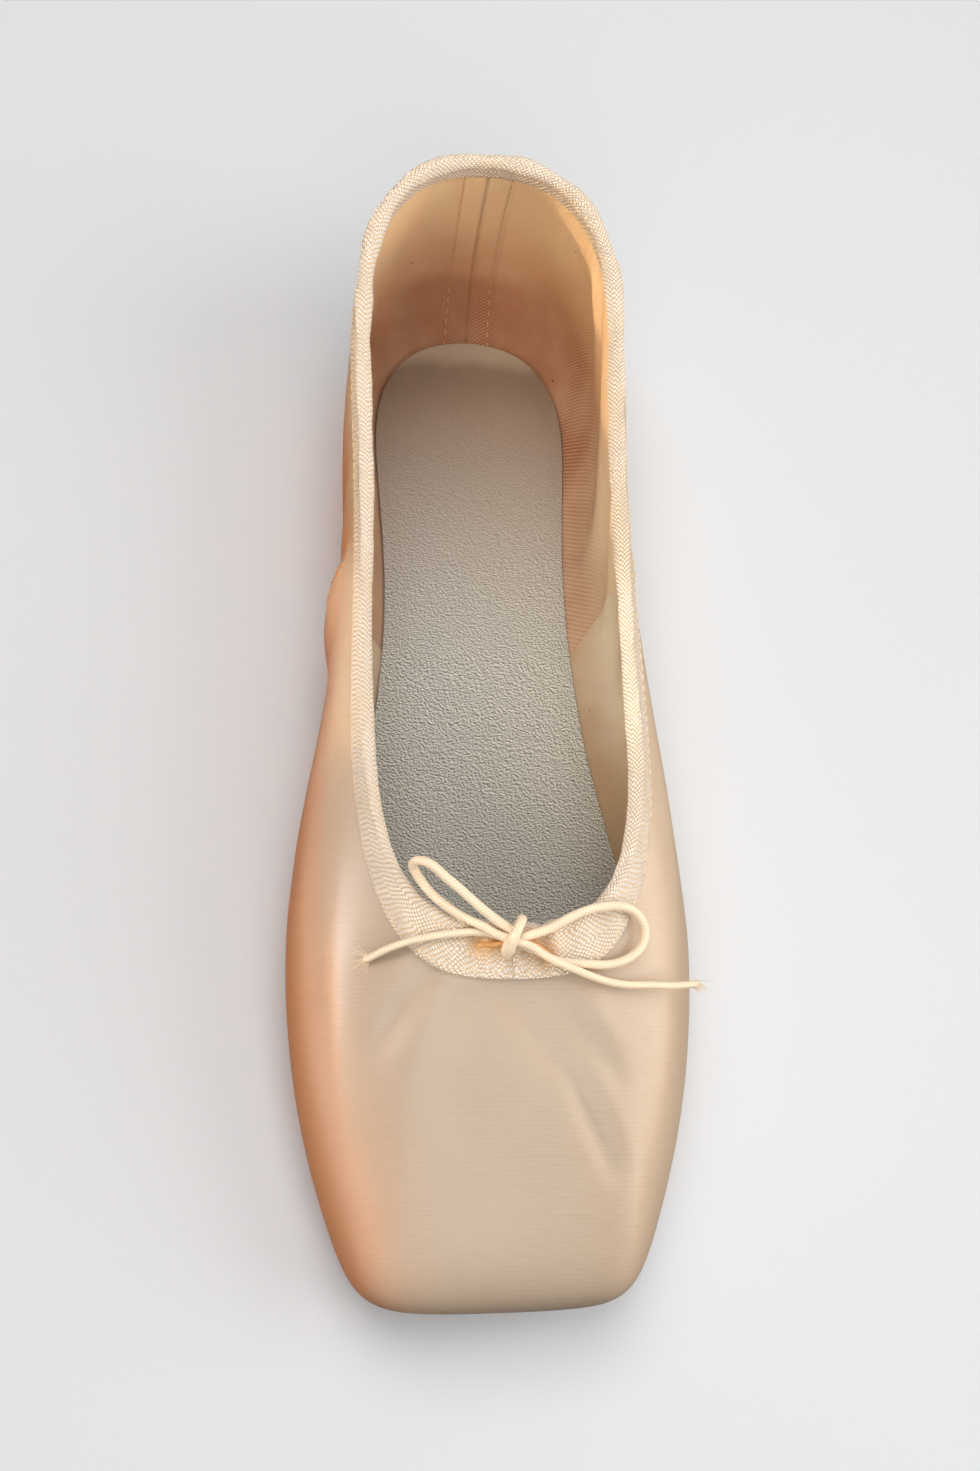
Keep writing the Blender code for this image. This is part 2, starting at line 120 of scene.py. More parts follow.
# Shares of those sizes, a row for each section: wide is the fullest point of the side, foot the sole
# edge, under the inner edge below the sole, corner the turn to the top face, edge the top edge.
COLUMNS = (
    "name span rise top wide_x wide_y wide_z foot_x foot_y under_x under_y "
    "corner_x corner_y corner_z reach edge_x edge_z"
).split()
SECTIONS = (
    ("toe", PLATFORM_WIDTH, PLATFORM_HEIGHT, INSTEP_HEIGHT,
     0.00, -0.004, 0.52, 0.00, 0.004, 0.00, 0.160, 0.00, -0.004, 1.14, 0.000, 0.00, 1.00),
    ("platform", PLATFORM_WIDTH, PLATFORM_HEIGHT, INSTEP_HEIGHT,
     0.62, -0.004, 0.52, 0.60, 0.004, 0.27, 0.164, 0.58, -0.003, 1.12, 0.002, 0.29, 1.00),
    ("corner", PLATFORM_WIDTH, PLATFORM_HEIGHT, INSTEP_HEIGHT,
     1.10, 0.003, 0.52, 1.02, 0.011, 0.49, 0.180, 0.98, 0.004, 1.08, 0.014, 0.54, 1.00),
    ("box", PLATFORM_WIDTH, PLATFORM_HEIGHT, INSTEP_HEIGHT,
     1.34, 0.060, 0.54, 1.16, 0.066, 0.64, 0.212, 1.12, 0.064, 1.12, 0.050, 0.77, 0.99),
    ("wing", BALL_WIDTH, INSTEP_HEIGHT, INSTEP_HEIGHT,
     0.96, 0.150, 0.30, 0.77, 0.150, 0.43, 0.257, 0.80, 0.155, 0.64, 0.110, 0.92, 0.97),
    ("ball", BALL_WIDTH, INSTEP_HEIGHT, INSTEP_HEIGHT,
     1.045, 0.270, 0.34, 0.79, 0.270, 0.44, 0.316, 0.86, 0.270, 0.72, 0.200, 1.00, 0.94),
    ("instep", BALL_WIDTH, SIDE_HEIGHT, SIDE_HEIGHT,
     1.00, 0.380, 0.40, 0.67, 0.380, 0.40, 0.392, 0.88, 0.380, 0.76, 0.310, 1.00, 0.98),
    ("arch", WAIST_WIDTH, SIDE_HEIGHT, SIDE_HEIGHT,
     1.24, 0.490, 0.44, 0.74, 0.490, 0.43, 0.490, 1.14, 0.490, 0.78, 0.440, 1.00, 1.00),
    ("waist", WAIST_WIDTH, SIDE_HEIGHT, SIDE_HEIGHT,
     1.09, 0.610, 0.46, 0.62, 0.610, 0.35, 0.610, 1.05, 0.610, 0.78, 0.580, 1.00, 1.00),
    ("quarter", HEEL_WIDTH, SIDE_HEIGHT, SIDE_HEIGHT,
     1.06, 0.730, 0.48, 0.70, 0.730, 0.40, 0.730, 1.05, 0.730, 0.80, 0.720, 1.03, 1.03),
    ("seat", HEEL_WIDTH, HEEL_HEIGHT, HEEL_HEIGHT,
     1.05, 0.850, 0.42, 0.82, 0.844, 0.45, 0.822, 1.04, 0.850, 0.72, 0.850, 1.05, 0.93),
    ("heel_side", HEEL_WIDTH, HEEL_HEIGHT, HEEL_HEIGHT,
     0.85, 0.950, 0.44, 0.68, 0.918, 0.37, 0.874, 0.84, 0.953, 0.74, 0.942, 0.85, 0.98),
    ("heel_turn", HEEL_WIDTH, HEEL_HEIGHT, HEEL_HEIGHT,
     0.47, 0.995, 0.44, 0.37, 0.946, 0.20, 0.898, 0.47, 0.996, 0.74, 0.991, 0.48, 1.01),
    ("heel", HEEL_WIDTH, HEEL_HEIGHT, HEEL_HEIGHT,
     0.00, 1.004, 0.44, 0.00, 0.954, 0.00, 0.906, 0.00, 1.006, 0.74, 1.002, 0.00, 1.02),
)
ROWS = [dict(zip(COLUMNS, row)) for row in SECTIONS]
AROUND = 2 * (len(ROWS) - 1)
HEEL_PLACE = len(ROWS) - 1
TOP_LEVEL, THIN_LEVEL, BED_LEVEL, FOOT_LEVEL, SIDE_LEVEL = 8.0, 7.2, 1.0, 2.0, 4.0
print(f"{len(ROWS)} sections of a shoe {LENGTH * 1000:.0f} mm long")


# %% Lines of the sole
def along(share):
    """The y of a share of the length, measured from the toe."""
    return (share - 0.5) * LENGTH


def mixed(start, end, share):
    """The point or number at a share of the way from start to end."""
    return start + (end - start) * share


def smooth(share):
    """0 to 1 with level ends."""
    share = np.clip(share, 0, 1)
    return share * share * (3 - 2 * share)


def bell(distance, width):
    """1 at no distance, and nearly 0 at twice the width."""
    return np.exp(-((distance / width) ** 2))


def sole_line(y):
    """Height of the outsole's underside: flat at heel and ball, raised at the arch and the toe."""
    place = y / LENGTH + 0.5
    half = (ARCH_END - ARCH_START) / 2
    arch = ARCH_RISE * smooth(1 - abs(place - ARCH_START - half) / half)
    return arch + TOE_SPRING * np.maximum(0, (SPRING_END - place) / SPRING_END) ** 2


def seat_line(y):
    """Height of the upper's underside, just above the outsole."""
    return sole_line(y) + OUTSOLE_THICKNESS + GAP


print(f"arch {sole_line(along(0.6)) * 1000:.1f} mm and toe {sole_line(along(0)) * 1000:.1f} mm off the floor")


# %% The net of control points
LOW_SHARE, SHOULDER_SHARE, SLOPE_SHARE, SEAT_LEVELS = 0.75, 0.22, 0.60, 3


def control_column(row):
    """The nine control points of one section, from under the sole edge to the top edge."""
    half, rise = row["span"] / 2, row["rise"]
    under = np.array((row["under_x"] * half, along(row["under_y"]), 0))
    foot = np.array((row["foot_x"] * half, along(row["foot_y"]), 0))
    wide = np.array((row["wide_x"] * half, along(row["wide_y"]), row["wide_z"] * rise))
    corner = np.array((row["corner_x"] * half, along(row["corner_y"]), row["corner_z"] * rise))
    edge_y = mixed(along(0) + VAMP_LENGTH, along(1), row["reach"])
    edge = np.array((row["edge_x"] * COLLAR_WIDTH / 2, edge_y, row["edge_z"] * row["top"]))
    low = mixed(foot, wide, LOW_SHARE)
    low[2] = mixed(seat_line(foot[1]), wide[2], 0.5)
    crown = np.array((0, 0, VAMP_CROWN * (1 - row["reach"])))
    shoulder = mixed(corner, edge, SHOULDER_SHARE) + crown
    slope = mixed(corner, edge, SLOPE_SHARE) + crown
    return [under, mixed(under, foot, 0.5), foot, low, wide, corner, shoulder, slope, edge]


def control_net():
    """Control points of the whole skin: sections round the shoe, mirrored, by points up each section."""
    right = np.array([control_column(row) for row in ROWS])
    left = right[-2:0:-1] * (-1, 1, 1)
    net = np.concatenate([right, left])
    mixing = (4 * np.eye(AROUND) + np.roll(np.eye(AROUND), 1, 0) + np.roll(np.eye(AROUND), -1, 0)) / 6
    for level in range(SEAT_LEVELS):
        net[:, level, 2] = np.linalg.solve(mixing, seat_line(mixing @ net[:, level, 1]))
    return net


NET = control_net()
LEVELS = NET.shape[1]
print(f"net of {AROUND} by {LEVELS} control points")


# %% The skin
def spline_weights(places, count, closed):
    """Weights and slopes of a cubic B-spline: a row for each place, a column for each control point."""
    first = np.floor(places).astype(int)
    if not closed:
        first = np.minimum(first, count - 2)
    t = places - first
    spline = np.array([(1 - t) ** 3, 3 * t**3 - 6 * t**2 + 4, -3 * t**3 + 3 * t**2 + 3 * t + 1, t**3])
    slope = np.array([-3 * (1 - t) ** 2, 9 * t**2 - 12 * t, -9 * t**2 + 6 * t + 3, 3 * t**2])
    table = np.zeros((2, len(places), count + 2))
    row = np.arange(len(places))
    for k in range(4):
        column = (first + k - 1) % count + 1 if closed else first + k
        table[0, row, column] += spline[k] / 6
        table[1, row, column] += slope[k] / 6
    inner = table[:, :, 1:-1]
    if not closed:
        inner[:, :, 0] += 2 * table[:, :, 0]
        inner[:, :, 1] -= table[:, :, 0]
        inner[:, :, -1] += 2 * table[:, :, -1]
        inner[:, :, -2] -= table[:, :, -1]
    return inner


def skin(around, level):
    """Points and outward normals of the last, for arrays of places round the shoe and levels up it."""
    around, level = np.broadcast_arrays(np.asarray(around, float), np.asarray(level, float))
    across, turning = spline_weights(around.ravel(), AROUND, True)
    up, rising = spline_weights(level.ravel(), LEVELS, False)
    column = (across @ NET.reshape(AROUND, -1)).reshape(-1, LEVELS, 3)
    turned = (turning @ NET.reshape(AROUND, -1)).reshape(-1, LEVELS, 3)
    point = np.einsum("nl,nlc->nc", up, column)
    normal = np.cross(np.einsum("nl,nlc->nc", up, turned), np.einsum("nl,nlc->nc", rising, column))
    normal /= np.linalg.norm(normal, axis=1, keepdims=True)
    return point.reshape(around.shape + (3,)), normal.reshape(around.shape + (3,))


def wall(level, point):
    """Thickness of the upper: thick in the stiffened box, thin at the quarters and at the top edge."""
    boxed = smooth((BOX_END - point[..., 1] / LENGTH - 0.5) / BOX_FADE)
    return mixed(QUARTER_WALL, BOX_WALL, boxed * smooth(THIN_LEVEL - level))


def outside(around, level, clear=0.0):
    """Points that lie clear of the upper's outer face."""
    point, normal = skin(around, level)
    return point + normal * clear


def inside(around, level, clear=0.0):
    """Points on the upper's inner face, or clear of it on the inside."""
    point, normal = skin(around, level)
    return point - normal * (wall(level, point) + clear)[..., None]


def level_from_top(around, distance):
    """The level a distance down the section from the top edge, for each place."""
    levels = np.linspace(TOP_LEVEL, SIDE_LEVEL, 81)
    points, _ = skin(np.asarray(around)[:, None], levels[None, :])
    steps = np.linalg.norm(np.diff(points, axis=1), axis=2)
    gone = np.concatenate([np.zeros((len(steps), 1)), np.cumsum(steps, axis=1)], axis=1)
    return np.array([np.interp(distance, row, levels) for row in gone])


throat, _ = skin(0.0, TOP_LEVEL)
throat = throat + inside(0.0, TOP_LEVEL)
throat = throat / 2
print("middle of the throat's edge:", np.round(throat * 1000, 2), "mm")

# %% [markdown]
# ## One way to make a mesh
# Panels, tapes, soles and cords are all rings of points with faces between them. A ring runs up one side
# of the cloth and back down the other, so every piece is closed and has a real thickness. The UV map is
# in metres, along the rings and across them, so a weave can be drawn at its real size.


# %% Rings into meshes
def loft(name, rings, reach, wrap=False, zero=0):
    """A closed mesh object through rings of as many points. reach is how far along each ring lies."""
    count, size = rings.shape[:2]
    index = np.arange(count * size).reshape(count, size)
    closing = np.linalg.norm(np.roll(rings, -1, axis=1) - rings, axis=2)
    across = np.concatenate([np.zeros((count, 1)), np.cumsum(closing, axis=1)], axis=1)
    across -= across[:, zero:zero + 1]
    if wrap:
        index = np.concatenate([index, index[:1]])
        across = np.concatenate([across, across[:1]])
    index = np.concatenate([index, index[:, :1]], axis=1)
    near, far = index[:-1], index[1:]
    quads = np.stack([near[:, :-1], near[:, 1:], far[:, 1:], far[:, :-1]], axis=-1).reshape(-1, 4)
    u = np.broadcast_to(np.asarray(reach)[:, None], across.shape)
    where = np.stack([u, across], axis=-1)
    low, high = where[:-1], where[1:]
    corners = np.stack([low[:, :-1], low[:, 1:], high[:, 1:], high[:, :-1]], axis=2).reshape(-1, 2)
    if not wrap:
        k = np.arange(size // 2 - 1)
        for ring, row in ((index[0], where[0]), (index[-1], where[-1])):
            pairs = np.stack([k, k + 1, size - 2 - k, size - 1 - k], axis=-1)
            quads = np.concatenate([quads, ring[pairs]])
            corners = np.concatenate([corners, row[pairs].reshape(-1, 2)])
    mesh = bpy.data.meshes.new(name)
    mesh.from_pydata(rings.reshape(-1, 3).tolist(), [], quads.tolist())
    mesh.uv_layers.new(name="cloth").data.foreach_set("uv", corners.astype(np.float32).ravel())
    shape = bmesh.new()
    shape.from_mesh(mesh)
    bmesh.ops.recalc_face_normals(shape, faces=shape.faces[:])
    shape.to_mesh(mesh)
    shape.free()
    mesh.shade_smooth()
    mesh.set_sharp_from_angle(angle=math.radians(50))
    piece = bpy.data.objects.new(name, mesh)
    bpy.context.scene.collection.objects.link(piece)
    return piece


def paint(piece, name, values):
    """Stores a number for each point of a piece, which its material can read."""
    attribute = piece.data.attributes.new(name, "FLOAT", "POINT")
    attribute.data.foreach_set("value", values.astype(np.float32))


def reach_of(points, wrap=False):
    """How far along a line each of its points lies, with the whole way round last if it is closed."""
    ends = np.concatenate([points, points[:1]]) if wrap else points
    steps = np.linalg.norm(np.diff(ends, axis=0), axis=1)
    return np.concatenate([[0.0], np.cumsum(steps)])


def dress(piece, material, slot, *nodes):
    """Gives a finished piece its material and its place in the frame."""
    if material is not None:
        piece.data.materials.clear()
        piece.data.materials.append(material)
    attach(piece, "root")
    if nodes:
        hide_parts(*nodes)
    print(f"{piece.name}: {len(piece.data.polygons)} faces")
    return piece


# %% [markdown]
# ## Materials
# One function adds a node with its settings and its links, and gives its outputs. The rest is what each
# material is. Colours are given as they look on a screen and turned to linear light, which is what the
# shader needs.


# %% Helpers for materials
MATH, MIX, SPAN = "ShaderNodeMath", "ShaderNodeMix", "ShaderNodeMapRange"
NOISE, SPLIT, MAPPING = "ShaderNodeTexNoise", "ShaderNodeSeparateXYZ", "ShaderNodeMapping"
RGBA, SOFTLY = {"data_type": "RGBA"}, {"interpolation_type": "SMOOTHSTEP"}


def linear(code):
    """Linear colour of an sRGB hex value."""
    parts = [int(code[k:k + 2], 16) / 255 for k in (1, 3, 5)]
    return [p / 12.92 if p <= 0.04045 else ((p + 0.055) / 1.055) ** 2.4 for p in parts] + [1]


def add(tree, kind, inputs=(), **settings):
    """Adds a node and gives its outputs. inputs are in the sockets' order, or a dict by name or number:
    values, hex colours or other nodes' outputs. settings are the node's own choices."""
    node = tree.nodes.new(kind)
    for name, value in settings.items():
        setattr(node, name, value)
    for socket, value in inputs.items() if isinstance(inputs, dict) else enumerate(inputs):
        if isinstance(value, bpy.types.NodeSocket):
            tree.links.new(value, node.inputs[socket])
        else:
            node.inputs[socket].default_value = linear(value) if isinstance(value, str) else value
    return node.outputs


def new_material(name, roughness, **sockets):
    """A material with its Principled shader, its tree, and its object and cloth coordinates."""
    material = bpy.data.materials.new(name)
    material.use_nodes = True
    tree = material.node_tree
    shader = tree.nodes["Principled BSDF"]
    shader.inputs["Roughness"].default_value = roughness
    for socket, value in sockets.items():
        shader.inputs[socket.replace("_", " ")].default_value = value
    place = add(tree, "ShaderNodeTexCoord")
    return material, tree, shader, place["Object"], place["UV"]


def finish_with(tree, shader, colour, height, depth, strength=1.0):
    """Links the colour, and a height of 0 to 1 as relief of the given depth in metres."""
    tree.links.new(colour, shader.inputs["Base Color"])
    bump = add(tree, "ShaderNodeBump", {"Height": height, "Distance": depth, "Strength": strength})
    tree.links.new(bump[0], shader.inputs["Normal"])


print("helpers for materials ready")


# %% Patterns that cloth needs
def stripes(tree, across, spacing):
    """A wave of 0 to 1 that repeats every spacing metres of a coordinate."""
    turns = add(tree, MATH, (across, 2 * math.pi / spacing), operation="MULTIPLY")[0]
    wave = add(tree, MATH, (turns,), operation="SINE")[0]
    return add(tree, MATH, (wave, 0.5, 0.5), operation="MULTIPLY_ADD")[0]


def patches(tree, place, size, low, high, most=1.0, detail=2.0):
    """Soft patches of 0 to most: noise of a size in metres, spread between two of its values."""
    cloud = add(tree, NOISE, {"Vector": place, "Scale": 1 / size, "Detail": detail})[0]
    return add(tree, SPAN, (cloud, low, high, 0.0, most), **SOFTLY)[0]


def specks(tree, place, spacing, size):
    """1 at rare small specks: a Voronoi pattern whose few chosen cells have a dot at their middle."""
    cells = add(tree, "ShaderNodeTexVoronoi", {"Vector": place, "Scale": 1 / spacing}, feature="F1")
    dot = add(tree, MATH, (cells["Distance"], size / 2 / spacing), operation="LESS_THAN")[0]
    pick = add(tree, "ShaderNodeSeparateColor", (cells["Color"],))[0]
    chosen = add(tree, MATH, (pick, 0.45), operation="LESS_THAN")[0]
    return add(tree, MATH, (dot, chosen), operation="MULTIPLY")[0]


print("patterns ready")

# %% [markdown]
# ## Satin
# Pointe shoe satin is polyester or rayon with long floating threads on its face. They make it glossy
# across one direction, and the fine crosswise lines and the odd thicker thread show close up. The threads
# are about 0.1 mm apart, far too fine for the picture, so the lines are drawn 0.8 mm apart. Lines by
# Object coordinates would break up where the cloth turns down over the toe, so the mesh carries a cloth
# coordinate of its own, which runs over the tip. To the eye it is a soft, broad shine over faint lines.

# %% Satin material
PICK_SPACING, FLOAT_LENGTH, FLOAT_WIDTH = 0.8 * MM, 4 * MM, 0.7 * MM
sheen = {"Sheen_Weight": 0.1, "Sheen_Roughness": 0.4}
satin, tree, shader, place, cloth = new_material("satin", 0.38, IOR=1.5, **sheen)
axes = add(tree, SPLIT, (cloth,))
wander = add(tree, NOISE, {"Vector": place, "Scale": 1 / (25 * MM)})[0]
drifted = add(tree, MATH, (wander, 1.5 * MM, axes[1]), operation="MULTIPLY_ADD")[0]
picks = stripes(tree, drifted, PICK_SPACING)
thread_scale = (1 / FLOAT_LENGTH, 1 / FLOAT_WIDTH, 1)
drawn_out = add(tree, MAPPING, {"Vector": cloth, "Scale": thread_scale})[0]
floats = add(tree, NOISE, {"Vector": drawn_out, "Scale": 1.0})[0]
crosswise = add(tree, MATH, (picks, 0.14, 0.18), operation="MULTIPLY_ADD")[0]
weave = add(tree, MATH, (floats, 0.6, crosswise), operation="MULTIPLY_ADD")[0]
body = add(tree, MIX, {0: patches(tree, place, 38 * MM, 0.35, 0.7), 6: "#C4AE93", 7: "#BFA68A"}, **RGBA)[2]
shine = add(tree, SPAN, (weave, 0.3, 0.75, 0.0, 0.5), **SOFTLY)[0]
satin_colour = add(tree, MIX, {0: shine, 6: body, 7: "#CAB59C"}, **RGBA)[2]
finish_with(tree, shader, satin_colour, weave, 0.00002, 0.3)
print("satin:", len(tree.nodes), "nodes")

# %% [markdown]
# ## Lining
# The quarters are lined with cotton twill, whose threads step sideways in each row and so make slanting
# ribs, and the vamp with plain canvas. Both are undyed, with a few dark seed specks left in the yarn. Low
# down both are painted browner, as painted shade deep inside the shoe by the insole, and in the heel the
# twill is painted darker toward the bottom and paler toward the top edge, as painted shade in the heel
# cup. The twill's ribs are 0.5 mm apart on the real cloth and 0.8 mm here. To the eye they are matt, dry
# and warm.

# %% Twill
RIB, CANVAS_THREAD = 0.8 * MM, 0.8 * MM
twill, tree, shader, place, cloth = new_material("cotton_twill", 0.85)
axes = add(tree, SPLIT, (cloth,))
slant = add(tree, MATH, (axes[1], 0.7, axes[0]), operation="MULTIPLY_ADD")[0]
ribs = stripes(tree, slant, RIB)
spot = add(tree, SPLIT, (place,))
# Painted shade: in the heel the twill runs from dark low down to pale at the top edge, for the shade in the
# heel cup.
upward = add(tree, SPAN, (spot[2], 0.010, 0.046), **SOFTLY)[0]
tan = add(tree, MIX, {0: upward, 6: "#AE6C3C", 7: "#F6D3A2"}, **RGBA)[2]
heelward = add(tree, SPAN, (spot[1], along(0.66), along(0.86)), **SOFTLY)[0]
warm = add(tree, MIX, {0: heelward, 6: "#F0DAB8", 7: tan}, **RGBA)[2]
# Painted shade: browner low down, deep inside the shoe by the insole.
painted_low_shade = add(tree, SPAN, (spot[2], 0.026, 0.009, 0.0, 0.8), **SOFTLY)[0]
shaded_low = add(tree, MIX, {0: painted_low_shade, 6: warm, 7: "#8A4E2B"}, **RGBA)[2]
cloudy = patches(tree, place, 26 * MM, 0.4, 0.7, 0.28, 3.0)
patchy = add(tree, MIX, {0: cloudy, 6: shaded_low, 7: "#EBCDA4"}, **RGBA)[2]
lit_ribs = add(tree, MATH, (ribs, 0.22), operation="MULTIPLY")[0]
ribbed = add(tree, MIX, {0: lit_ribs, 6: patchy, 7: "#F2D8B2"}, **RGBA)[2]
seam = add(tree, "ShaderNodeAttribute", attribute_name="seam")["Fac"]
seamed = add(tree, MIX, {0: seam, 6: ribbed, 7: "#8A5A34"}, **RGBA)[2]
speckled = add(tree, MIX, {0: specks(tree, place, 5 * MM, 0.5 * MM), 6: seamed, 7: "#6B4528"}, **RGBA)[2]
finish_with(tree, shader, speckled, ribs, 0.00008, 0.5)
print("twill:", len(tree.nodes), "nodes")

# %% Canvas
canvas, tree, shader, place, cloth = new_material("cotton_canvas", 0.88)
axes = add(tree, SPLIT, (cloth,))
warp, weft = stripes(tree, axes[0], CANVAS_THREAD), stripes(tree, axes[1], CANVAS_THREAD)
weave = add(tree, MATH, (warp, weft), operation="MULTIPLY")[0]
stains = patches(tree, place, 22 * MM, 0.38, 0.68, 1.0, 3.0)
stained = add(tree, MIX, {0: stains, 6: "#E8D8BC", 7: "#D3BC98"}, **RGBA)[2]
height = add(tree, SPLIT, (place,))[2]
# Painted shade: browner low down, deep inside the shoe by the insole.
painted_low_shade = add(tree, SPAN, (height, 0.017, 0.007, 0.0, 0.6), **SOFTLY)[0]
shaded_low = add(tree, MIX, {0: painted_low_shade, 6: stained, 7: "#8F6A48"}, **RGBA)[2]
speckled = add(tree, MIX, {0: specks(tree, place, 6 * MM, 0.5 * MM), 6: shaded_low, 7: "#6B4A2C"}, **RGBA)[2]
finish_with(tree, shader, speckled, weave, 0.0001, 0.5)
print("canvas:", len(tree.nodes), "nodes")

# %% [markdown]
# ## Binding tape
# The top edge is bound with a cotton herringbone tape: a twill whose slant turns back every few
# millimetres, so its ribs meet in chevrons. The UV map runs along the tape and across it from the rim, so
# a Ping-Pong of the width makes the slant turn. Near the drawstring's exits the elastic inside shows
# orange. The real threads are 0.6 mm apart and are drawn 0.95 mm apart. To the eye they are pale beads on
# tan gaps.

# %% Binding material
CHEVRON, TAPE_RIB, TAPE_THREAD = 3.4 * MM, 1.05 * MM, 0.95 * MM
tape, tree, shader, place, cloth = new_material("herringbone_tape", 0.72, Sheen_Weight=0.15)
axes = add(tree, SPLIT, (cloth,))
turning = add(tree, MATH, (axes[1], CHEVRON), operation="PINGPONG")[0]
ribs = stripes(tree, add(tree, MATH, (turning, 0.95, axes[0]), operation="MULTIPLY_ADD")[0], TAPE_RIB)
beads = stripes(tree, add(tree, MATH, (turning, -1.25, axes[0]), operation="MULTIPLY_ADD")[0], TAPE_THREAD)
weave = add(tree, MATH, (ribs, beads), operation="MULTIPLY")[0]
worn = add(tree, MIX, {0: patches(tree, place, 14 * MM, 0.4, 0.7), 6: "#FFFAF3", 7: "#F9F0E2"}, **RGBA)[2]
raised = add(tree, SPAN, (weave, 0.03, 0.40), **SOFTLY)[0]
threads = add(tree, MIX, {0: raised, 6: "#CCB18B", 7: worn}, **RGBA)[2]
exits = add(tree, "ShaderNodeAttribute", attribute_name="exits")["Fac"]
showing = add(tree, MIX, {0: exits, 6: threads, 7: "#DDA868"}, **RGBA)[2]
finish_with(tree, shader, showing, weave, 0.0003, 0.8)
print("tape:", len(tree.nodes), "nodes")

# %% [markdown]
# ## Insole suede
# The sock is grey split suede. Its nap is crumpled toward the toe, and pressed smooth and brown where the
# heel stood. The crumples are about half a millimetre, which the picture can just show. Two looks at the
# same noise, 0.17 mm apart, tell which side of each crumple faces the light, so the nap keeps its
# contrast under soft lamps. To the eye it is a dry, dusty grey.

# %% Suede
NAP, NAP_SHIFT = 0.50 * MM, (0.08 * MM, 0.15 * MM, 0)
suede, tree, shader, place, cloth = new_material("grey_suede", 0.92, Sheen_Weight=0.1)
length_wise = add(tree, SPLIT, (place,))[1]
heelward = add(tree, SPAN, (length_wise, along(0.52), along(0.90)), **SOFTLY)[0]
grain = add(tree, MAPPING, {"Vector": place, "Scale": (0.9, 1.05, 1)})[0]
shifted = add(tree, "ShaderNodeVectorMath", (grain, NAP_SHIFT), operation="ADD")[0]
nap = {"Scale": 1 / NAP, "Detail": 6.0, "Roughness": 0.7}
crumple, lower = [add(tree, NOISE, {"Vector": spot, **nap})[0] for spot in (grain, shifted)]
calm = add(tree, MATH, (heelward, -0.75, 1.0), operation="MULTIPLY_ADD")[0]
relief = add(tree, MATH, (crumple, calm), operation="MULTIPLY")[0]
base = add(tree, MIX, {0: heelward, 6: "#E9E6D9", 7: "#8B745F"}, **RGBA)[2]
hollow = add(tree, MIX, {0: heelward, 6: "#706D5F", 7: "#6C5743"}, **RGBA)[2]
facing = add(tree, MATH, (crumple, lower), operation="SUBTRACT")[0]
lit = add(tree, SPAN, (facing, -0.062, 0.042), **SOFTLY)[0]
pressed_flat = add(tree, MATH, (heelward, 0.65), operation="MULTIPLY")[0]
even = add(tree, MATH, (lit, pressed_flat), operation="MAXIMUM")[0]
mottled = add(tree, MIX, {0: even, 6: hollow, 7: base}, **RGBA)[2]
# Painted shade and highlight at the heel end: a dark band of painted shade below the curled end, then a pale
# crescent on it that is partly pressed nap and partly a painted highlight.
ragged = add(tree, NOISE, {"Vector": place, "Scale": 1 / (11 * MM)})[0]
line = add(tree, MATH, (ragged, 0.006, length_wise), operation="MULTIPLY_ADD")[0]
shade = add(tree, SPAN, (line, along(0.84), along(0.915), 0.0, 0.35), **SOFTLY)[0]
shaded = add(tree, MIX, {0: shade, 6: mottled, 7: "#64503D"}, **RGBA)[2]
worn_and_lit_end = add(tree, SPAN, (line, along(0.912), along(0.932)), **SOFTLY)[0]
suede_colour = add(tree, MIX, {0: worn_and_lit_end, 6: shaded, 7: "#9C8A73"}, **RGBA)[2]
finish_with(tree, shader, suede_colour, relief, 0.0005, 1.0)
print("suede:", len(tree.nodes), "nodes")

# %% [markdown]
# ## Sole leather, cord and thread
# The sole is tan leather buffed on its face, with fine pores and pale scuffs. The drawstring is a covered
# elastic, so its cover's threads wind round it, and the thread is plain spun polyester. Inside its casing
# the elastic is orange. All are matt to the eye, the leather a little less so.

# %% Leather, cord and thread
PORE, COVER_THREAD, COVER_LEAN = 0.7 * MM, 0.7 * MM, 0.55
leather, tree, shader, place, cloth = new_material("sole_leather", 0.62)
grain = add(tree, "ShaderNodeTexVoronoi", {"Vector": place, "Scale": 1 / PORE})["Distance"]
scuff_scale = (1 / (17 * MM), 1 / (1.1 * MM), 1 / (17 * MM))
drawn_out = add(tree, MAPPING, {"Vector": place, "Scale": scuff_scale})[0]
scuffs = patches(tree, drawn_out, 1.0, 0.5, 0.72, 0.4, 3.0)
tanned = patches(tree, place, 18 * MM, 0.35, 0.7, 1.0, 4.0)
hide = add(tree, MIX, {0: tanned, 6: "#C7A47E", 7: "#B48D66"}, **RGBA)[2]
leather_colour = add(tree, MIX, {0: scuffs, 6: hide, 7: "#DCC3A2"}, **RGBA)[2]
finish_with(tree, shader, leather_colour, grain, 0.0001, 0.5)

elastic, tree, shader, place, cloth = new_material("covered_elastic", 0.6, Sheen_Weight=0.2)
axes = add(tree, SPLIT, (cloth,))
winding = add(tree, MATH, (axes[1], COVER_LEAN, axes[0]), operation="MULTIPLY_ADD")[0]
cover = stripes(tree, winding, COVER_THREAD)
cover_colour = add(tree, MIX, {0: cover, 6: "#E6CFAC", 7: "#F0DDBF"}, **RGBA)[2]
finish_with(tree, shader, cover_colour, cover, 0.00002, 0.3)

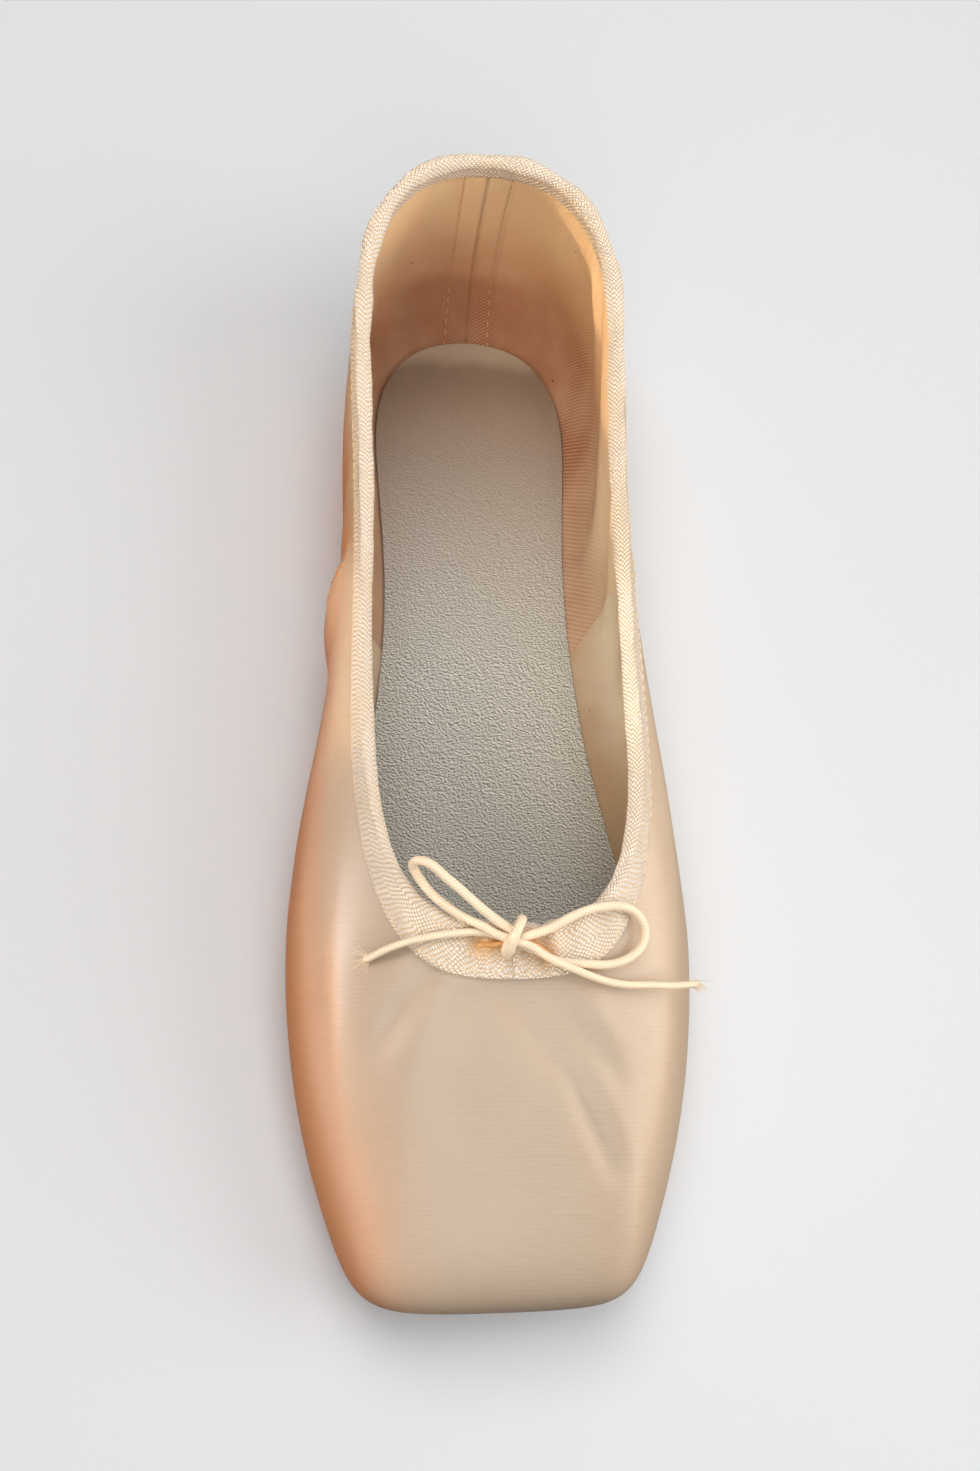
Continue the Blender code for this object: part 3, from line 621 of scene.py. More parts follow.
spun_materials = []
for name, fibre, dark, light, depth in (
    ("spun_thread", 1.1 * MM, "#DFC49A", "#F0DBB6", 0.00003),
    ("orange_elastic", 1.4 * MM, "#CC8138", "#EDBE7E", 0.00004),
):
    material, tree, shader, place, cloth = new_material(name, 0.6)
    spun = add(tree, NOISE, {"Vector": place, "Scale": 1 / fibre})[0]
    finish_with(tree, shader, add(tree, MIX, {0: spun, 6: dark, 7: light}, **RGBA)[2], spun, depth)
    spun_materials.append(material)
thread, rust = spun_materials
print("leather, elastic and thread ready")

# %% [markdown]
# ## The drawstring's bow
# One thin covered elastic runs inside the binding and comes out at the middle of the throat, where its
# ends are tied in a small bow. Each strand has a real length and weight, so the route comes first: smooth
# curves that rest on the binding and the satin, and cross in long low humps. The points are the same as
# those of the solids, in millimetres from the middle of the throat's edge.

# %% Routes of the bow
LOOP_LEFT = (
    (0.6, -1.6, 3.0), (-1.0, -0.4, 4.1), (-2.9, 0.9, 4.6), (-4.6, 2.0, 5.1), (-7.6, 4.2, 6.1),
    (-10.5, 6.6, 7.1), (-13.3, 8.8, 7.7), (-15.7, 11.0, 7.6),
    (-17.8, 12.0, 6.5), (-18.8, 11.8, 4.7), (-18.3, 10.7, 3.3), (-15.7, 7.2, 2.6),
    (-12.7, 4.5, 2.7), (-9.5, 2.2, 3.2), (-6.1, 0.3, 4.3), (-3.5, -1.3, 4.6),
)
LOOP_RIGHT = (
    (-0.6, -2.2, 3.0), (0.8, -1.7, 3.3), (2.1, -1.4, 3.3), (3.6, -0.9, 3.3), (6.4, 0.1, 3.1),
    (9.4, 1.6, 3.2), (12.9, 3.2, 3.3), (16.4, 4.1, 3.2),
    (20.2, 4.5, 2.2), (23.5, 3.8, 0.1), (25.4, 1.6, -1.3), (25.5, -0.9, -2.0),
    (24.1, -3.2, -1.8), (21.2, -5.1, -1.1), (17.5, -6.1, -0.1), (13.8, -6.1, 0.9), (10.9, -6.0, 1.3),
    (7.3, -5.4, 1.5), (4.7, -4.2, 1.9),
)
TAIL_LEFT = (
    (-2.9, -1.2, 2.6), (-4.4, -0.7, 2.6), (-7.8, -0.5, 2.7), (-11.5, -0.7, 2.3), (-15.3, -1.1, 1.8),
    (-19.1, -1.7, 0.8), (-22.9, -2.7, -0.8), (-25.8, -3.8, -2.9), (-27.1, -4.2, -3.8),
)
TAIL_RIGHT = (
    (2.6, -3.4, 4.2), (3.9, -4.2, 4.1), (6.9, -5.9, 3.7), (10.5, -7.3, 2.9), (14.1, -8.3, 0.9),
    (18.0, -9.1, -1.1), (22.0, -9.5, -2.4), (26.7, -9.3, -3.9), (31.4, -9.2, -5.3), (36.1, -8.8, -6.1),
)
WRAP = (
    (0.9, 1.2, 1.6), (1.2, 1.7, 3.2), (1.0, 1.3, 4.9), (0.5, 0.2, 6.1), (-0.2, -1.2, 6.4),
    (-0.9, -2.5, 5.8), (-1.4, -3.6, 4.4), (-1.5, -4.3, 2.8), (-1.2, -4.8, 1.2),
)
WRAP_SHARES = (0.75, 1.15, 1.25, 1.1, 1.15, 1.45, 1.6, 1.35, 0.7)
EXIT_LEFT = ((-1.2, -2.3, 1.9), (-2.8, -2.4, 1.75), (-4.6, -2.5, 1.2), (-6.2, -2.4, 0.2))
EXIT_RIGHT = ((1.6, -1.6, 1.9), (3.2, -2.4, 1.7), (4.8, -3.2, 1.3), (6.2, -3.9, 0.2))
FINE_STEPS, CORD_STEP, CORD_SIDES = 12, 0.5 * MM, 14
# The cord is stretched thin toward its ends: its thickness at four places from the loop to the tail.
THINNING_PLACES, THINNING = (0, 0.35, 0.65, 1), (1.12, 1.10, 0.95, 0.88)
CASING_CORD_RADIUS = 0.34 * CORD_DIAMETER


def smooth_route(points, step):
    """Points an equal step apart along a smooth curve through a route, given in millimetres."""
    route = np.array(points) * MM + throat
    route = np.concatenate([[2 * route[0] - route[1]], route, [2 * route[-1] - route[-2]]])
    fine = []
    for k in range(1, len(route) - 2):
        before, start, end, after = route[k - 1:k + 3]
        for t in np.arange(FINE_STEPS) / FINE_STEPS:
            bend = (2 * before - 5 * start + 4 * end - after) * t * t
            swing = (3 * (start - end) + after - before) * t**3
            fine.append((2 * start + (end - before) * t + bend + swing) / 2)
    fine.append(route[-2])
    fine = np.array(fine)
    reach = reach_of(fine)
    places = np.linspace(0, reach[-1], max(3, round(reach[-1] / step)) + 1)
    return np.array([np.interp(places, reach, fine[:, axis]) for axis in range(3)]).T


def tube(name, points, radius, sides=CORD_SIDES, taper=None):
    """A round cord along its points. taper gives a radius factor for each point."""
    tangent = np.gradient(points, axis=0)
    tangent /= np.linalg.norm(tangent, axis=1, keepdims=True)
    side = np.cross(tangent[0], (0, 0, 1.0))
    turn = np.arange(sides) * 2 * math.pi / sides
    rings = []
    for k, way in enumerate(tangent):
        side = side - way * np.dot(side, way)
        side /= np.linalg.norm(side)
        up = np.cross(way, side)
        size = radius * (1 if taper is None else taper[k])
        rings.append(points[k] + size * (np.outer(np.cos(turn), side) + np.outer(np.sin(turn), up)))
    return loft(name, np.array(rings), reach_of(points))


# %% Ends of the drawstring
FRAY_HAIRS, FRAY_LENGTH, FRAY_SPREAD, FRAY_CURL = 34, 2.2 * MM, 0.42, 0.35
HAIR_RADIUS, HAIR_POINTS, HAIR_SIDES, HAIR_TIP = 0.07 * MM, 5, 5, 0.35
rng = np.random.default_rng(7)


def frayed_end(name, points):
    """A tuft of loose fibres at the last of the points, each a thin tapered hair."""
    way = points[-1] - points[-4]
    way /= np.linalg.norm(way)
    tuft = bmesh.new()
    for _ in range(FRAY_HAIRS):
        spread = rng.normal(0, FRAY_SPREAD, 3)
        start = points[-1] + spread * CORD_DIAMETER * 0.5 - way * 0.5 * MM
        aim = way + spread
        length = FRAY_LENGTH * rng.uniform(0.45, 1.0)
        curl = rng.normal(0, FRAY_CURL, 3)
        steps = np.linspace(0, 1, HAIR_POINTS)[:, None]
        line = start + (aim * steps + curl * steps**2) * length
        taper = np.linspace(1, HAIR_TIP, HAIR_POINTS)
        strand = tube(f"{name}_hair", line, HAIR_RADIUS, HAIR_SIDES, taper)
        tuft.from_mesh(strand.data)
        mesh = strand.data
        bpy.data.objects.remove(strand)
        bpy.data.meshes.remove(mesh)
    mesh = bpy.data.meshes.new(name)
    tuft.to_mesh(mesh)
    tuft.free()
    mesh.shade_smooth()
    piece = bpy.data.objects.new(name, mesh)
    bpy.context.scene.collection.objects.link(piece)
    return dress(piece, thread, "drawstring")


def drawstring(name, first, second, tip, nodes):
    """One strand of the bow: a loop that runs on under the knot into a frayed tail."""
    points = smooth_route(first + second, CORD_STEP)
    thinning = np.interp(np.linspace(0, 1, len(points)), THINNING_PLACES, THINNING)
    strand = dress(tube(name, points, CORD_DIAMETER / 2, taper=thinning), elastic, "drawstring", *nodes)
    fray = frayed_end(tip, points)


# %% Tie the bow
wrap_points = smooth_route(WRAP, CORD_STEP)
swell = np.interp(np.linspace(0, 1, len(wrap_points)), np.linspace(0, 1, len(WRAP_SHARES)), WRAP_SHARES)
wrap = tube("bow_wrap", wrap_points, CORD_DIAMETER / 2, taper=swell)
dress(wrap, elastic, "drawstring", "bow_knot")
drawstring("bow_left_loop", LOOP_LEFT, TAIL_RIGHT, "right_tip", ("loop_left", "tail_right"))
drawstring("bow_right_loop", LOOP_RIGHT, TAIL_LEFT, "left_tip", ("loop_right", "tail_left"))
for side, route in (("left", EXIT_LEFT), ("right", EXIT_RIGHT)):
    casing_cord = tube(f"casing_cord_{side}", smooth_route(route, CORD_STEP), CASING_CORD_RADIUS)
    dress(casing_cord, rust, "drawstring")

# %% [markdown]
# ## Creases
# Satin over a stiff box creases where the throat is pulled in. A crease is a soft trough along a line on
# the surface, with a lower ridge at each side of it. Noise would scatter creases everywhere, so each one
# is placed where the photograph shows it. A crease pushes the surface in by its depth, fades over its
# width, and tapers at both ends.

# %% Table of creases
# The points of a line are shares of half the ball's width, of the length from the toe, and of the
# instep's height. Depth and width are in millimetres, and a ridge has a depth below zero.
SATIN_CREASES = (
    (((-0.02, 0.232, 0.95), (0.10, 0.203, 0.92), (0.28, 0.176, 0.87), (0.37, 0.140, 0.80),
      (0.46, 0.105, 0.75)), 1.25, 3.0),
    (((0.10, 0.236, 0.96), (0.24, 0.212, 0.92), (0.37, 0.193, 0.88), (0.47, 0.176, 0.84)), 1.0, 2.4),
    (((0.20, 0.200, 0.92), (0.36, 0.165, 0.86), (0.47, 0.130, 0.78)), -0.5, 3.0),
    (((0.30, 0.235, 0.94), (0.44, 0.205, 0.88)), -0.5, 2.6),
    (((-0.38, 0.242, 0.93), (-0.50, 0.222, 0.88), (-0.57, 0.198, 0.82)), 1.15, 2.8),
    (((-0.26, 0.240, 0.94), (-0.38, 0.212, 0.90), (-0.44, 0.186, 0.85)), -0.5, 3.2),
    (((-0.14, 0.236, 0.95), (-0.20, 0.206, 0.92)), 0.6, 3.4),
    (((-0.44, 0.250, 0.96), (-0.22, 0.230, 0.97), (0.06, 0.227, 0.97), (0.30, 0.238, 0.96)), 0.7, 1.8),
    (((-0.24, 0.155, 0.90), (-0.26, 0.135, 0.88)), 0.35, 2.6),
    (((-0.74, 0.660, 0.74), (-0.78, 0.630, 0.55), (-0.82, 0.600, 0.38)), 1.1, 3.0),
    (((-0.80, 0.615, 0.66), (-0.84, 0.585, 0.48), (-0.86, 0.560, 0.34)), -2.1, 4.6),
    (((-0.70, 0.730, 0.74), (-0.74, 0.690, 0.52)), 0.8, 4.0),
    (((0.74, 0.665, 0.74), (0.78, 0.625, 0.52), (0.82, 0.590, 0.34)), 0.9, 3.0),
    (((0.70, 0.760, 0.76), (0.72, 0.700, 0.50)), 0.7, 4.2),
    (((0.66, 0.850, 0.80), (0.70, 0.800, 0.46)), 0.5, 4.0),
    (((-0.66, 0.850, 0.80), (-0.70, 0.800, 0.46)), 0.6, 4.0),
    (((0.92, 0.400, 0.60), (0.97, 0.330, 0.44)), 0.4, 4.5),
    (((-0.92, 0.420, 0.62), (-0.97, 0.350, 0.44)), 0.5, 4.5),
    (((-0.40, 0.965, 0.40), (0.0, 1.0, 0.34), (0.40, 0.965, 0.40)), 0.5, 3.5),
    (((0.0, 1.006, 1.0), (0.0, 1.003, 0.6), (0.0, 0.98, 0.3), (0.0, 0.945, 0.04)), 0.5, 0.7),
)
LINING_CREASES = (
    (((0.60, 0.930, 0.96), (0.64, 0.880, 0.72), (0.62, 0.830, 0.46)), -1.5, 3.0),
    (((0.62, 0.870, 0.90), (0.66, 0.800, 0.66), (0.66, 0.730, 0.44), (0.62, 0.680, 0.30)), -2.4, 4.0),
    (((0.66, 0.740, 0.80), (0.72, 0.660, 0.56), (0.66, 0.600, 0.34)), -1.9, 3.2),
    (((0.72, 0.640, 0.76), (0.76, 0.570, 0.50), (0.70, 0.520, 0.30)), -1.2, 3.6),
    (((-0.66, 0.700, 0.80), (-0.72, 0.620, 0.62), (-0.76, 0.540, 0.50)), -2.0, 4.4),
    (((-0.74, 0.560, 0.66), (-0.80, 0.500, 0.44), (-0.74, 0.450, 0.28)), -1.3, 4.0),
    (((-0.60, 0.880, 0.84), (-0.64, 0.830, 0.50)), -1.2, 4.2),
    (((0.36, 0.960, 0.90), (0.40, 0.950, 0.50)), -0.7, 4.0),
    (((-0.40, 0.960, 0.90), (-0.44, 0.945, 0.50)), -0.6, 4.0),
)
CREASE_DEPTH, CREASE_TAPER = 1.2, 0.08
CREASE_REACH, FAR_AWAY = 12 * MM, 1.0
CREASE_SCALE = np.array((BALL_WIDTH / 2, LENGTH, INSTEP_HEIGHT))
CREASE_START = np.array((0, along(0), 0))


def pressed(points, normals, creases):
    """How far each point is pushed in along its normal by all the creases of a table."""
    depth = np.zeros(points.shape[:-1])
    for line, amount, width in creases:
        line = np.array(line) * CREASE_SCALE + CREASE_START
        reach = reach_of(line)
        nearest = np.full(depth.shape, FAR_AWAY)
        share = np.zeros(depth.shape)
        for k, (start, end) in enumerate(zip(line, line[1:])):
            span = end - start
            t = np.clip((points - start) @ span / (span @ span), 0, 1)
            away = points - start - t[..., None] * span
            through = (away * normals).sum(-1)
            sideways = np.linalg.norm(away - through[..., None] * normals, axis=-1)
            flat = sideways + np.maximum(0, abs(through) - CREASE_REACH)
            closer = flat < nearest
            nearest = np.where(closer, flat, nearest)
            share = np.where(closer, (reach[k] + t * (reach[k + 1] - reach[k])) / reach[-1], share)
        fade = np.sqrt(np.maximum(0, np.sin(math.pi * mixed(CREASE_TAPER, 1 - CREASE_TAPER, share))))
        depth += CREASE_DEPTH * amount * MM * fade * bell(nearest, width * MM)
    return depth


print(len(SATIN_CREASES), "creases in the satin,", len(LINING_CREASES), "in the lining")

# %% [markdown]
# ## Upper
# The maker cuts the satin in three: a vamp over the toe, and two quarters that meet at the back of the
# heel. The vamp laps over the quarters at a seam on each side, and under the toe its spare cloth is
# pleated to lie flat. The lining is cut the same way. A panel here is a patch of the skin between two
# seam lines. It could be one mesh with a painted seam, but real laps catch the light and show at the
# outline.

# %% Seams and panels
SEAM_LEVELS = (0.0, 2.0, 3.0, 4.0, 6.0, 8.0)
SEAM_PLACES = (7.35, 7.55, 7.85, 7.95, 7.85, 7.70)
LAP, LAP_RISE, EDGE_SOFTNESS = 0.16, 0.35 * MM, 0.05
SATIN_THICKNESS, LINING_THICKNESS = 0.5 * MM, 0.6 * MM
PLEATS, PLEAT_DEPTH, PLEAT_END, PLEAT_FADE, PLEAT_SHARPNESS = 7.0, 0.55 * MM, 5.4, 1.5, 0.6
PLEAT_TOP_LEVEL, PLEAT_LEVEL_FADE = 2.15, 0.9
FREE_LEVEL, FREE_SPAN, LAYER_ROOM = 1.6, 1.4, 0.1 * MM
PANEL_GRID, PANEL_LEVELS, ROUGH_PLACES = 1.15 * MM, 84, 60
TOE_TURN, TOE_TURN_SPAN = -98 * MM, 18 * MM


def right_seam(level):
    """Where the seam between vamp and quarter lies on the right side, at each level."""
    return np.interp(level, SEAM_LEVELS, SEAM_PLACES)


def left_seam(level):
    """The same on the left side."""
    return AROUND - right_seam(level)


def heel_line(level):
    """Where the quarters meet, at the back of the heel."""
    return np.full_like(level, HEEL_PLACE)


def lapping(seam, amount):
    """A seam line moved round the shoe, for the lap."""
    return lambda level: seam(level) + amount


def pleats(around, level):
    """Height of the pleats that gather the satin under the toe."""
    place = (around + HEEL_PLACE) % AROUND - HEEL_PLACE
    here = smooth((PLEAT_END - abs(place)) / PLEAT_FADE)
    here = here * smooth((PLEAT_TOP_LEVEL - level) / PLEAT_LEVEL_FADE)
    return PLEAT_DEPTH * here * abs(np.sin(place * PLEATS)) ** PLEAT_SHARPNESS


def satin_face(around, level):
    """Outer face of the satin, with its creases and pleats."""
    point, normal = skin(around, level)
    lift = pleats(around, level) - pressed(point, normal, SATIN_CREASES)
    return point + normal * lift[..., None], normal


def lining_face(around, level):
    """Inner face of the lining, with its folds, and with room for the satin's creases behind it."""
    point, normal = skin(around, level)
    free = smooth((level - FREE_LEVEL) / FREE_SPAN)
    depth = wall(level, point) - pressed(point, normal, LINING_CREASES) * free
    room = pressed(point, normal, SATIN_CREASES) + SATIN_THICKNESS + LINING_THICKNESS + LAYER_ROOM
    return point - normal * np.maximum(depth, room)[..., None], normal


def panel(name, first, last, face, thickness, lapped, material):
    """A closed panel of cloth between two seam lines. face gives its showing side."""
    levels = np.linspace(0, TOP_LEVEL, PANEL_LEVELS)
    start, end = first(levels), last(levels)
    half = PANEL_LEVELS // 2
    middle, _ = skin(np.linspace(start[half], end[half], ROUGH_PLACES), levels[half])
    share = np.linspace(0, 1, int(reach_of(middle)[-1] / PANEL_GRID))[:, None]
    around = mixed(start[None, :], end[None, :], share)
    level = np.broadcast_to(levels[None, :], around.shape)
    shown, normal = face(around, level)
    side = 1.0 if face is satin_face else -1.0
    lift = np.zeros_like(around)
    if lapped:
        for seam in (start, end):
            lift += smooth((LAP + EDGE_SOFTNESS - abs(around - seam[None, :])) / EDGE_SOFTNESS)
    shown = shown + normal * (side * lift * LAP_RISE)[..., None]
    hidden = shown - normal * side * thickness
    rings = np.concatenate([shown, hidden[:, ::-1]], axis=1)
    piece = loft(name, rings, reach_of(middle)[-1] * share[:, 0])
    return dress(piece, material, "satin", "upper")


def cloth_over_toe(piece):
    """Makes the satin's UV map run straight across the shoe and on down over the tip of the toe."""
    mesh = piece.data
    points = np.zeros(len(mesh.vertices) * 3)
    mesh.vertices.foreach_get("co", points)
    points = points.reshape(-1, 3)
    drop = np.minimum(0, points[:, 2] - PLATFORM_HEIGHT)
    y = points[:, 1] + drop * smooth((TOE_TURN - points[:, 1]) / TOE_TURN_SPAN)
    x = points[:, 0] - np.sign(points[:, 0]) * drop
    loops = np.zeros(len(mesh.loops), int)
    mesh.loops.foreach_get("vertex_index", loops)
    uv = np.stack([x, y], axis=1)[loops]
    mesh.uv_layers["cloth"].data.foreach_set("uv", uv.astype(np.float32).ravel())


# %% Cut the satin and the lining
PARTS = (
    ("vamp", lapping(left_seam, -AROUND - LAP), lapping(right_seam, LAP), True, canvas),
    ("quarter_right", right_seam, heel_line, False, twill),
    ("quarter_left", heel_line, left_seam, False, twill),
)
for part, first, last, lapped, _ in PARTS:
    cloth_over_toe(panel(f"satin_{part}", first, last, satin_face, SATIN_THICKNESS, lapped, satin))
for part, first, last, lapped, backing in PARTS:
    panel(f"lining_{part}", first, last, lining_face, LINING_THICKNESS, lapped, backing)

# %% [markdown]
# ## Binding
# The tape is folded over the top edge: a wide leg outside, a rolled rim that holds the drawstring, and a
# short leg inside, hemmed thin at its end. Its section is swept round the whole edge. The drawstring
# gathers it, so small puckers run across the rim, strongest beside the bow and at the heel.

# %% Fold the tape over the edge
TAPE_PLACES, RIM_TURNS, BACK_TURNS = 900, 11, 5
TAPE_LIFT, PUFF, LEG_CROWN, HUG, BACK_ROOM = 0.12 * MM, 0.45 * MM, 0.25 * MM, 0.02 * MM, 0.1 * MM
OUTER_SHARES = (0.0, 0.0, 0.12, 0.3, 0.5, 0.7, 0.86, 0.96)
OUTER_LAYERS = (0.0, 0.55, 1.0, 1.0, 1.0, 1.0, 1.0, 1.15)
INNER_SHARES, INNER_HEM = (0.04, 0.3, 0.6, 0.9, 1.0), 0.4
BACK_INNER_SHARES, BACK_OUTER_SHARES = (1.0, 0.7, 0.35, 0.02), (0.95, 0.6, 0.3, 0.02)
BOW_SWING, BOW_TIGHT, HEEL_WAVES, ALL_ROUND = 0.22 * MM, 0.34 * MM, 0.32 * MM, 0.05 * MM
SWING_REACH, TIGHT_REACH, HEEL_REACH = 13 * MM, 9 * MM, 85 * MM
LIP, LIP_REACH, LIP_SHARE, LIP_WIDTH = 0.35 * MM, 12 * MM, 0.06, 0.07
PUFF_START, GATHER, GATHER_START, GATHER_FADE = 30 * MM, 0.55 * MM, 8 * MM, 35 * MM
LEG_PUCKER, EXIT_SPOT = 0.35, 2.1 * MM

around = np.linspace(0, AROUND, TAPE_PLACES, endpoint=False)
edge, outward = skin(around, TOP_LEVEL)
below, _ = skin(around, TOP_LEVEL - 0.02)
upward = edge - below
upward /= np.linalg.norm(upward, axis=1, keepdims=True)
middle = edge - outward * QUARTER_WALL / 2
edge_reach = reach_of(middle, wrap=True)
run = edge_reach[:-1]
from_bow = np.minimum(run, edge_reach[-1] - run)
from_heel = edge_reach[-1] / 2 - from_bow


def ripple(period, phase=0.0):
    """A wave along the tape. Its phase may be a wave too, so that no two puckers are alike."""
    return np.sin(run / period * 2 * math.pi + phase)


swing = ripple(6.2 * MM) + 0.6 * ripple(11.4 * MM, 1.3)
waves = ripple(19 * MM, 0.7 * ripple(62 * MM))
tight = ripple(3.8 * MM, 1.5 * ripple(8 * math.pi * MM))
rolls = 0.5 + 0.5 * ripple(10.5 * MM, ripple(46 * math.pi * MM) + 1.0)
pucker = swing * (BOW_SWING * bell(from_bow, SWING_REACH) + ALL_ROUND)
pucker += BOW_TIGHT * tight * bell(from_bow, TIGHT_REACH) + HEEL_WAVES * waves * bell(from_heel, HEEL_REACH)
lip = LIP * bell(from_bow, LIP_REACH)
puff = PUFF * smooth(from_bow / PUFF_START - 0.5)
gather = GATHER * rolls * smooth(from_bow / GATHER_START - 1) * smooth(2 - from_bow / GATHER_FADE)

# %% The tape's rings
outer_low = level_from_top(around, TAPE_OUTSIDE)
inner_low = level_from_top(around, TAPE_INSIDE)
ring = [outside(around, outer_low, TAPE_LIFT)]
for share, layers in list(zip(OUTER_SHARES, OUTER_LAYERS))[1:]:
    points, normals = skin(around, mixed(outer_low, TOP_LEVEL, share))
    arched = share * (1 - share)
    lift = TAPE_LIFT + layers * TAPE_THICKNESS + pucker * (LEG_PUCKER + share) + LEG_CROWN * arched
    lift += puff * share**2 + 4 * gather * arched + lip * bell(share - LIP_SHARE, LIP_WIDTH)
    ring.append(points + normals * lift[:, None])
rim = QUARTER_WALL / 2 + GAP + CASING_THICKNESS
for angle in np.radians(np.linspace(12, 168, RIM_TURNS)):
    turn = outward * math.cos(angle) + upward * math.sin(angle)
    ring.append(middle + turn * (rim + pucker + puff * (0.5 + 0.5 * math.cos(angle)))[:, None])
for share in INNER_SHARES:
    thick = TAPE_THICKNESS * (INNER_HEM if share == 1 else 1)
    ring.append(inside(around, mixed(TOP_LEVEL, inner_low, share), TAPE_LIFT + thick))
for share in BACK_INNER_SHARES:
    ring.append(inside(around, mixed(TOP_LEVEL, inner_low, share), HUG))
for angle in np.radians(np.linspace(160, 20, BACK_TURNS)):
    turn = outward * math.cos(angle) + upward * math.sin(angle)
    ring.append(middle + turn * (QUARTER_WALL / 2 + BACK_ROOM))
for share in BACK_OUTER_SHARES:
    ring.append(outside(around, mixed(outer_low, TOP_LEVEL, share), HUG))
rings = np.stack(ring, axis=1)
binding = loft("binding_tape", rings, edge_reach, wrap=True, zero=len(OUTER_SHARES) + RIM_TURNS // 2)
points = rings.reshape(-1, 3)
nearness = np.zeros(len(points))
for spot in np.array(EXIT_LEFT[1:] + EXIT_RIGHT[1:]) * MM + throat:
    nearness = np.maximum(nearness, bell(np.linalg.norm(points - spot, axis=1), EXIT_SPOT))
paint(binding, "exits", nearness)
dress(binding, tape, "binding_tape", "binding")

# %% [markdown]
# ## Insole and outsole
# Both are flat layers with a fitted outline. The insole fills the inside of the upper, curls up at the
# heel and stops a little short of it. The outsole is smaller than the upper's underside and its edge is
# skived thin. Each is a row of cross-sections from the toe to the heel, as a slab could be cut, with its
# edge rounded.

# %% Lay the insole
BISECTIONS, ENDS_STEPS, SIDE_STEPS = 26, 26, 90
HEEL_SHORT, SHORT_START, SHORT_SPAN, SHORT_POWER = 3.6 * MM, 0.80, 0.148, 1.5
INWARD = np.array((0.96, 0.85, 0.6, 0.3, 0.0))


def outline_places(start, toe, heel, end, toe_steps):
    """Places round the shoe from toe to heel, closer together at both ends, where the outline turns."""
    runs = ((start, toe, toe_steps), (toe, heel, SIDE_STEPS), (heel, end, ENDS_STEPS))
    return np.concatenate([np.linspace(*run)[:-1] for run in runs] + [[end]])


def insole_fit(around, height):
    """Where the insole's edge lies at each height: clear of the lining by its clearance."""
    low = np.full_like(height, BED_LEVEL)
    high = np.full_like(height, SIDE_LEVEL)
    for _ in range(BISECTIONS):
        half = (low + high) / 2
        under = inside(around, half, INSOLE_CLEARANCE)[..., 2] < height
        low, high = np.where(under, half, low), np.where(under, high, half)
    return inside(around, low, INSOLE_CLEARANCE)


def slab(name, y, half, height):
    """A layer through cross-sections: half widths and heights of the right edge, from below to above."""
    halves = np.concatenate([half[:, :1] * INWARD[::-1], half, half[:, -1:] * INWARD], axis=1)
    faces = [np.repeat(height[:, end, None], len(INWARD), axis=1) for end in (0, -1)]
    heights = np.concatenate([faces[0], height, faces[1]], axis=1)
    right = np.stack([halves, np.broadcast_to(y[:, None], halves.shape), heights], axis=-1)
    left = right[:, -2:0:-1] * (-1, 1, 1)
    rings = np.concatenate([right, left], axis=1)
    return loft(name, np.roll(rings, -1, axis=1), y)


around = outline_places(1.55, 2.4, 11.5, 12.93, 16)
foot, _ = skin(around, FOOT_LEVEL)
bed = seat_line(foot[:, 1]) + wall(np.zeros_like(around), foot)
low = np.maximum(bed, inside(around, BED_LEVEL)[:, 2]) + BED_CLEARANCE
low = low + HEEL_CURL * smooth((foot[:, 1] / LENGTH + 0.5 - CURL_START) / (1 - CURL_START))
profile = np.array((0.0, 0.25, 0.6, 0.85, 1.0))
rounding = np.array((0.25, 0.0, 0.0, 0.12, 0.45)) * MM
height = low[:, None] + INSOLE_THICKNESS * profile
fitted = insole_fit(np.broadcast_to(around[:, None], height.shape), height)
y = fitted[:, 0, 1]
y = y - HEEL_SHORT * np.clip((y / LENGTH + 0.5 - SHORT_START) / SHORT_SPAN, 0, 1) ** SHORT_POWER
insole = slab("insole_sock", y, fitted[..., 0] - rounding, height)
dress(insole, suede, "insole_suede", "insole")

# %% Cut the outsole
around = outline_places(0.08, 1.5, 11.2, 12.92, 22)
edge, _ = skin(around, 0.0)
heading = (skin(around + 0.02, 0.0)[0] - skin(around - 0.02, 0.0)[0])[:, :2]
heading = heading / np.linalg.norm(heading, axis=1, keepdims=True)
half = edge[:, 0] + heading[:, 1] * LASTING_MARGIN
y = edge[:, 1] - heading[:, 0] * LASTING_MARGIN
bevel = OUTSOLE_BEVEL * np.array((1.0, 0.55, 0.15, 0.0, 0.1, 0.5, 1.0))
rise = np.array((0.0, 0.06, 0.22, 0.5, 0.8, 0.95, 1.0))
height = sole_line(y)[:, None] + OUTSOLE_THICKNESS * rise
dress(slab("leather_sole", y, half[:, None] - bevel, height), leather, "outsole_leather", "outsole")

# %% [markdown]
# ## Stitches
# A sewing machine lays stitches of one length along a seam. That is what Geometry Nodes are for: the seam
# is a curve, the tree cuts it at even steps and sets a small bean of thread on each, turned along the
# seam. One tree serves every seam, with its sizes as named inputs. Placing each stitch in a loop would
# work too, but the tree can be changed by its sliders.

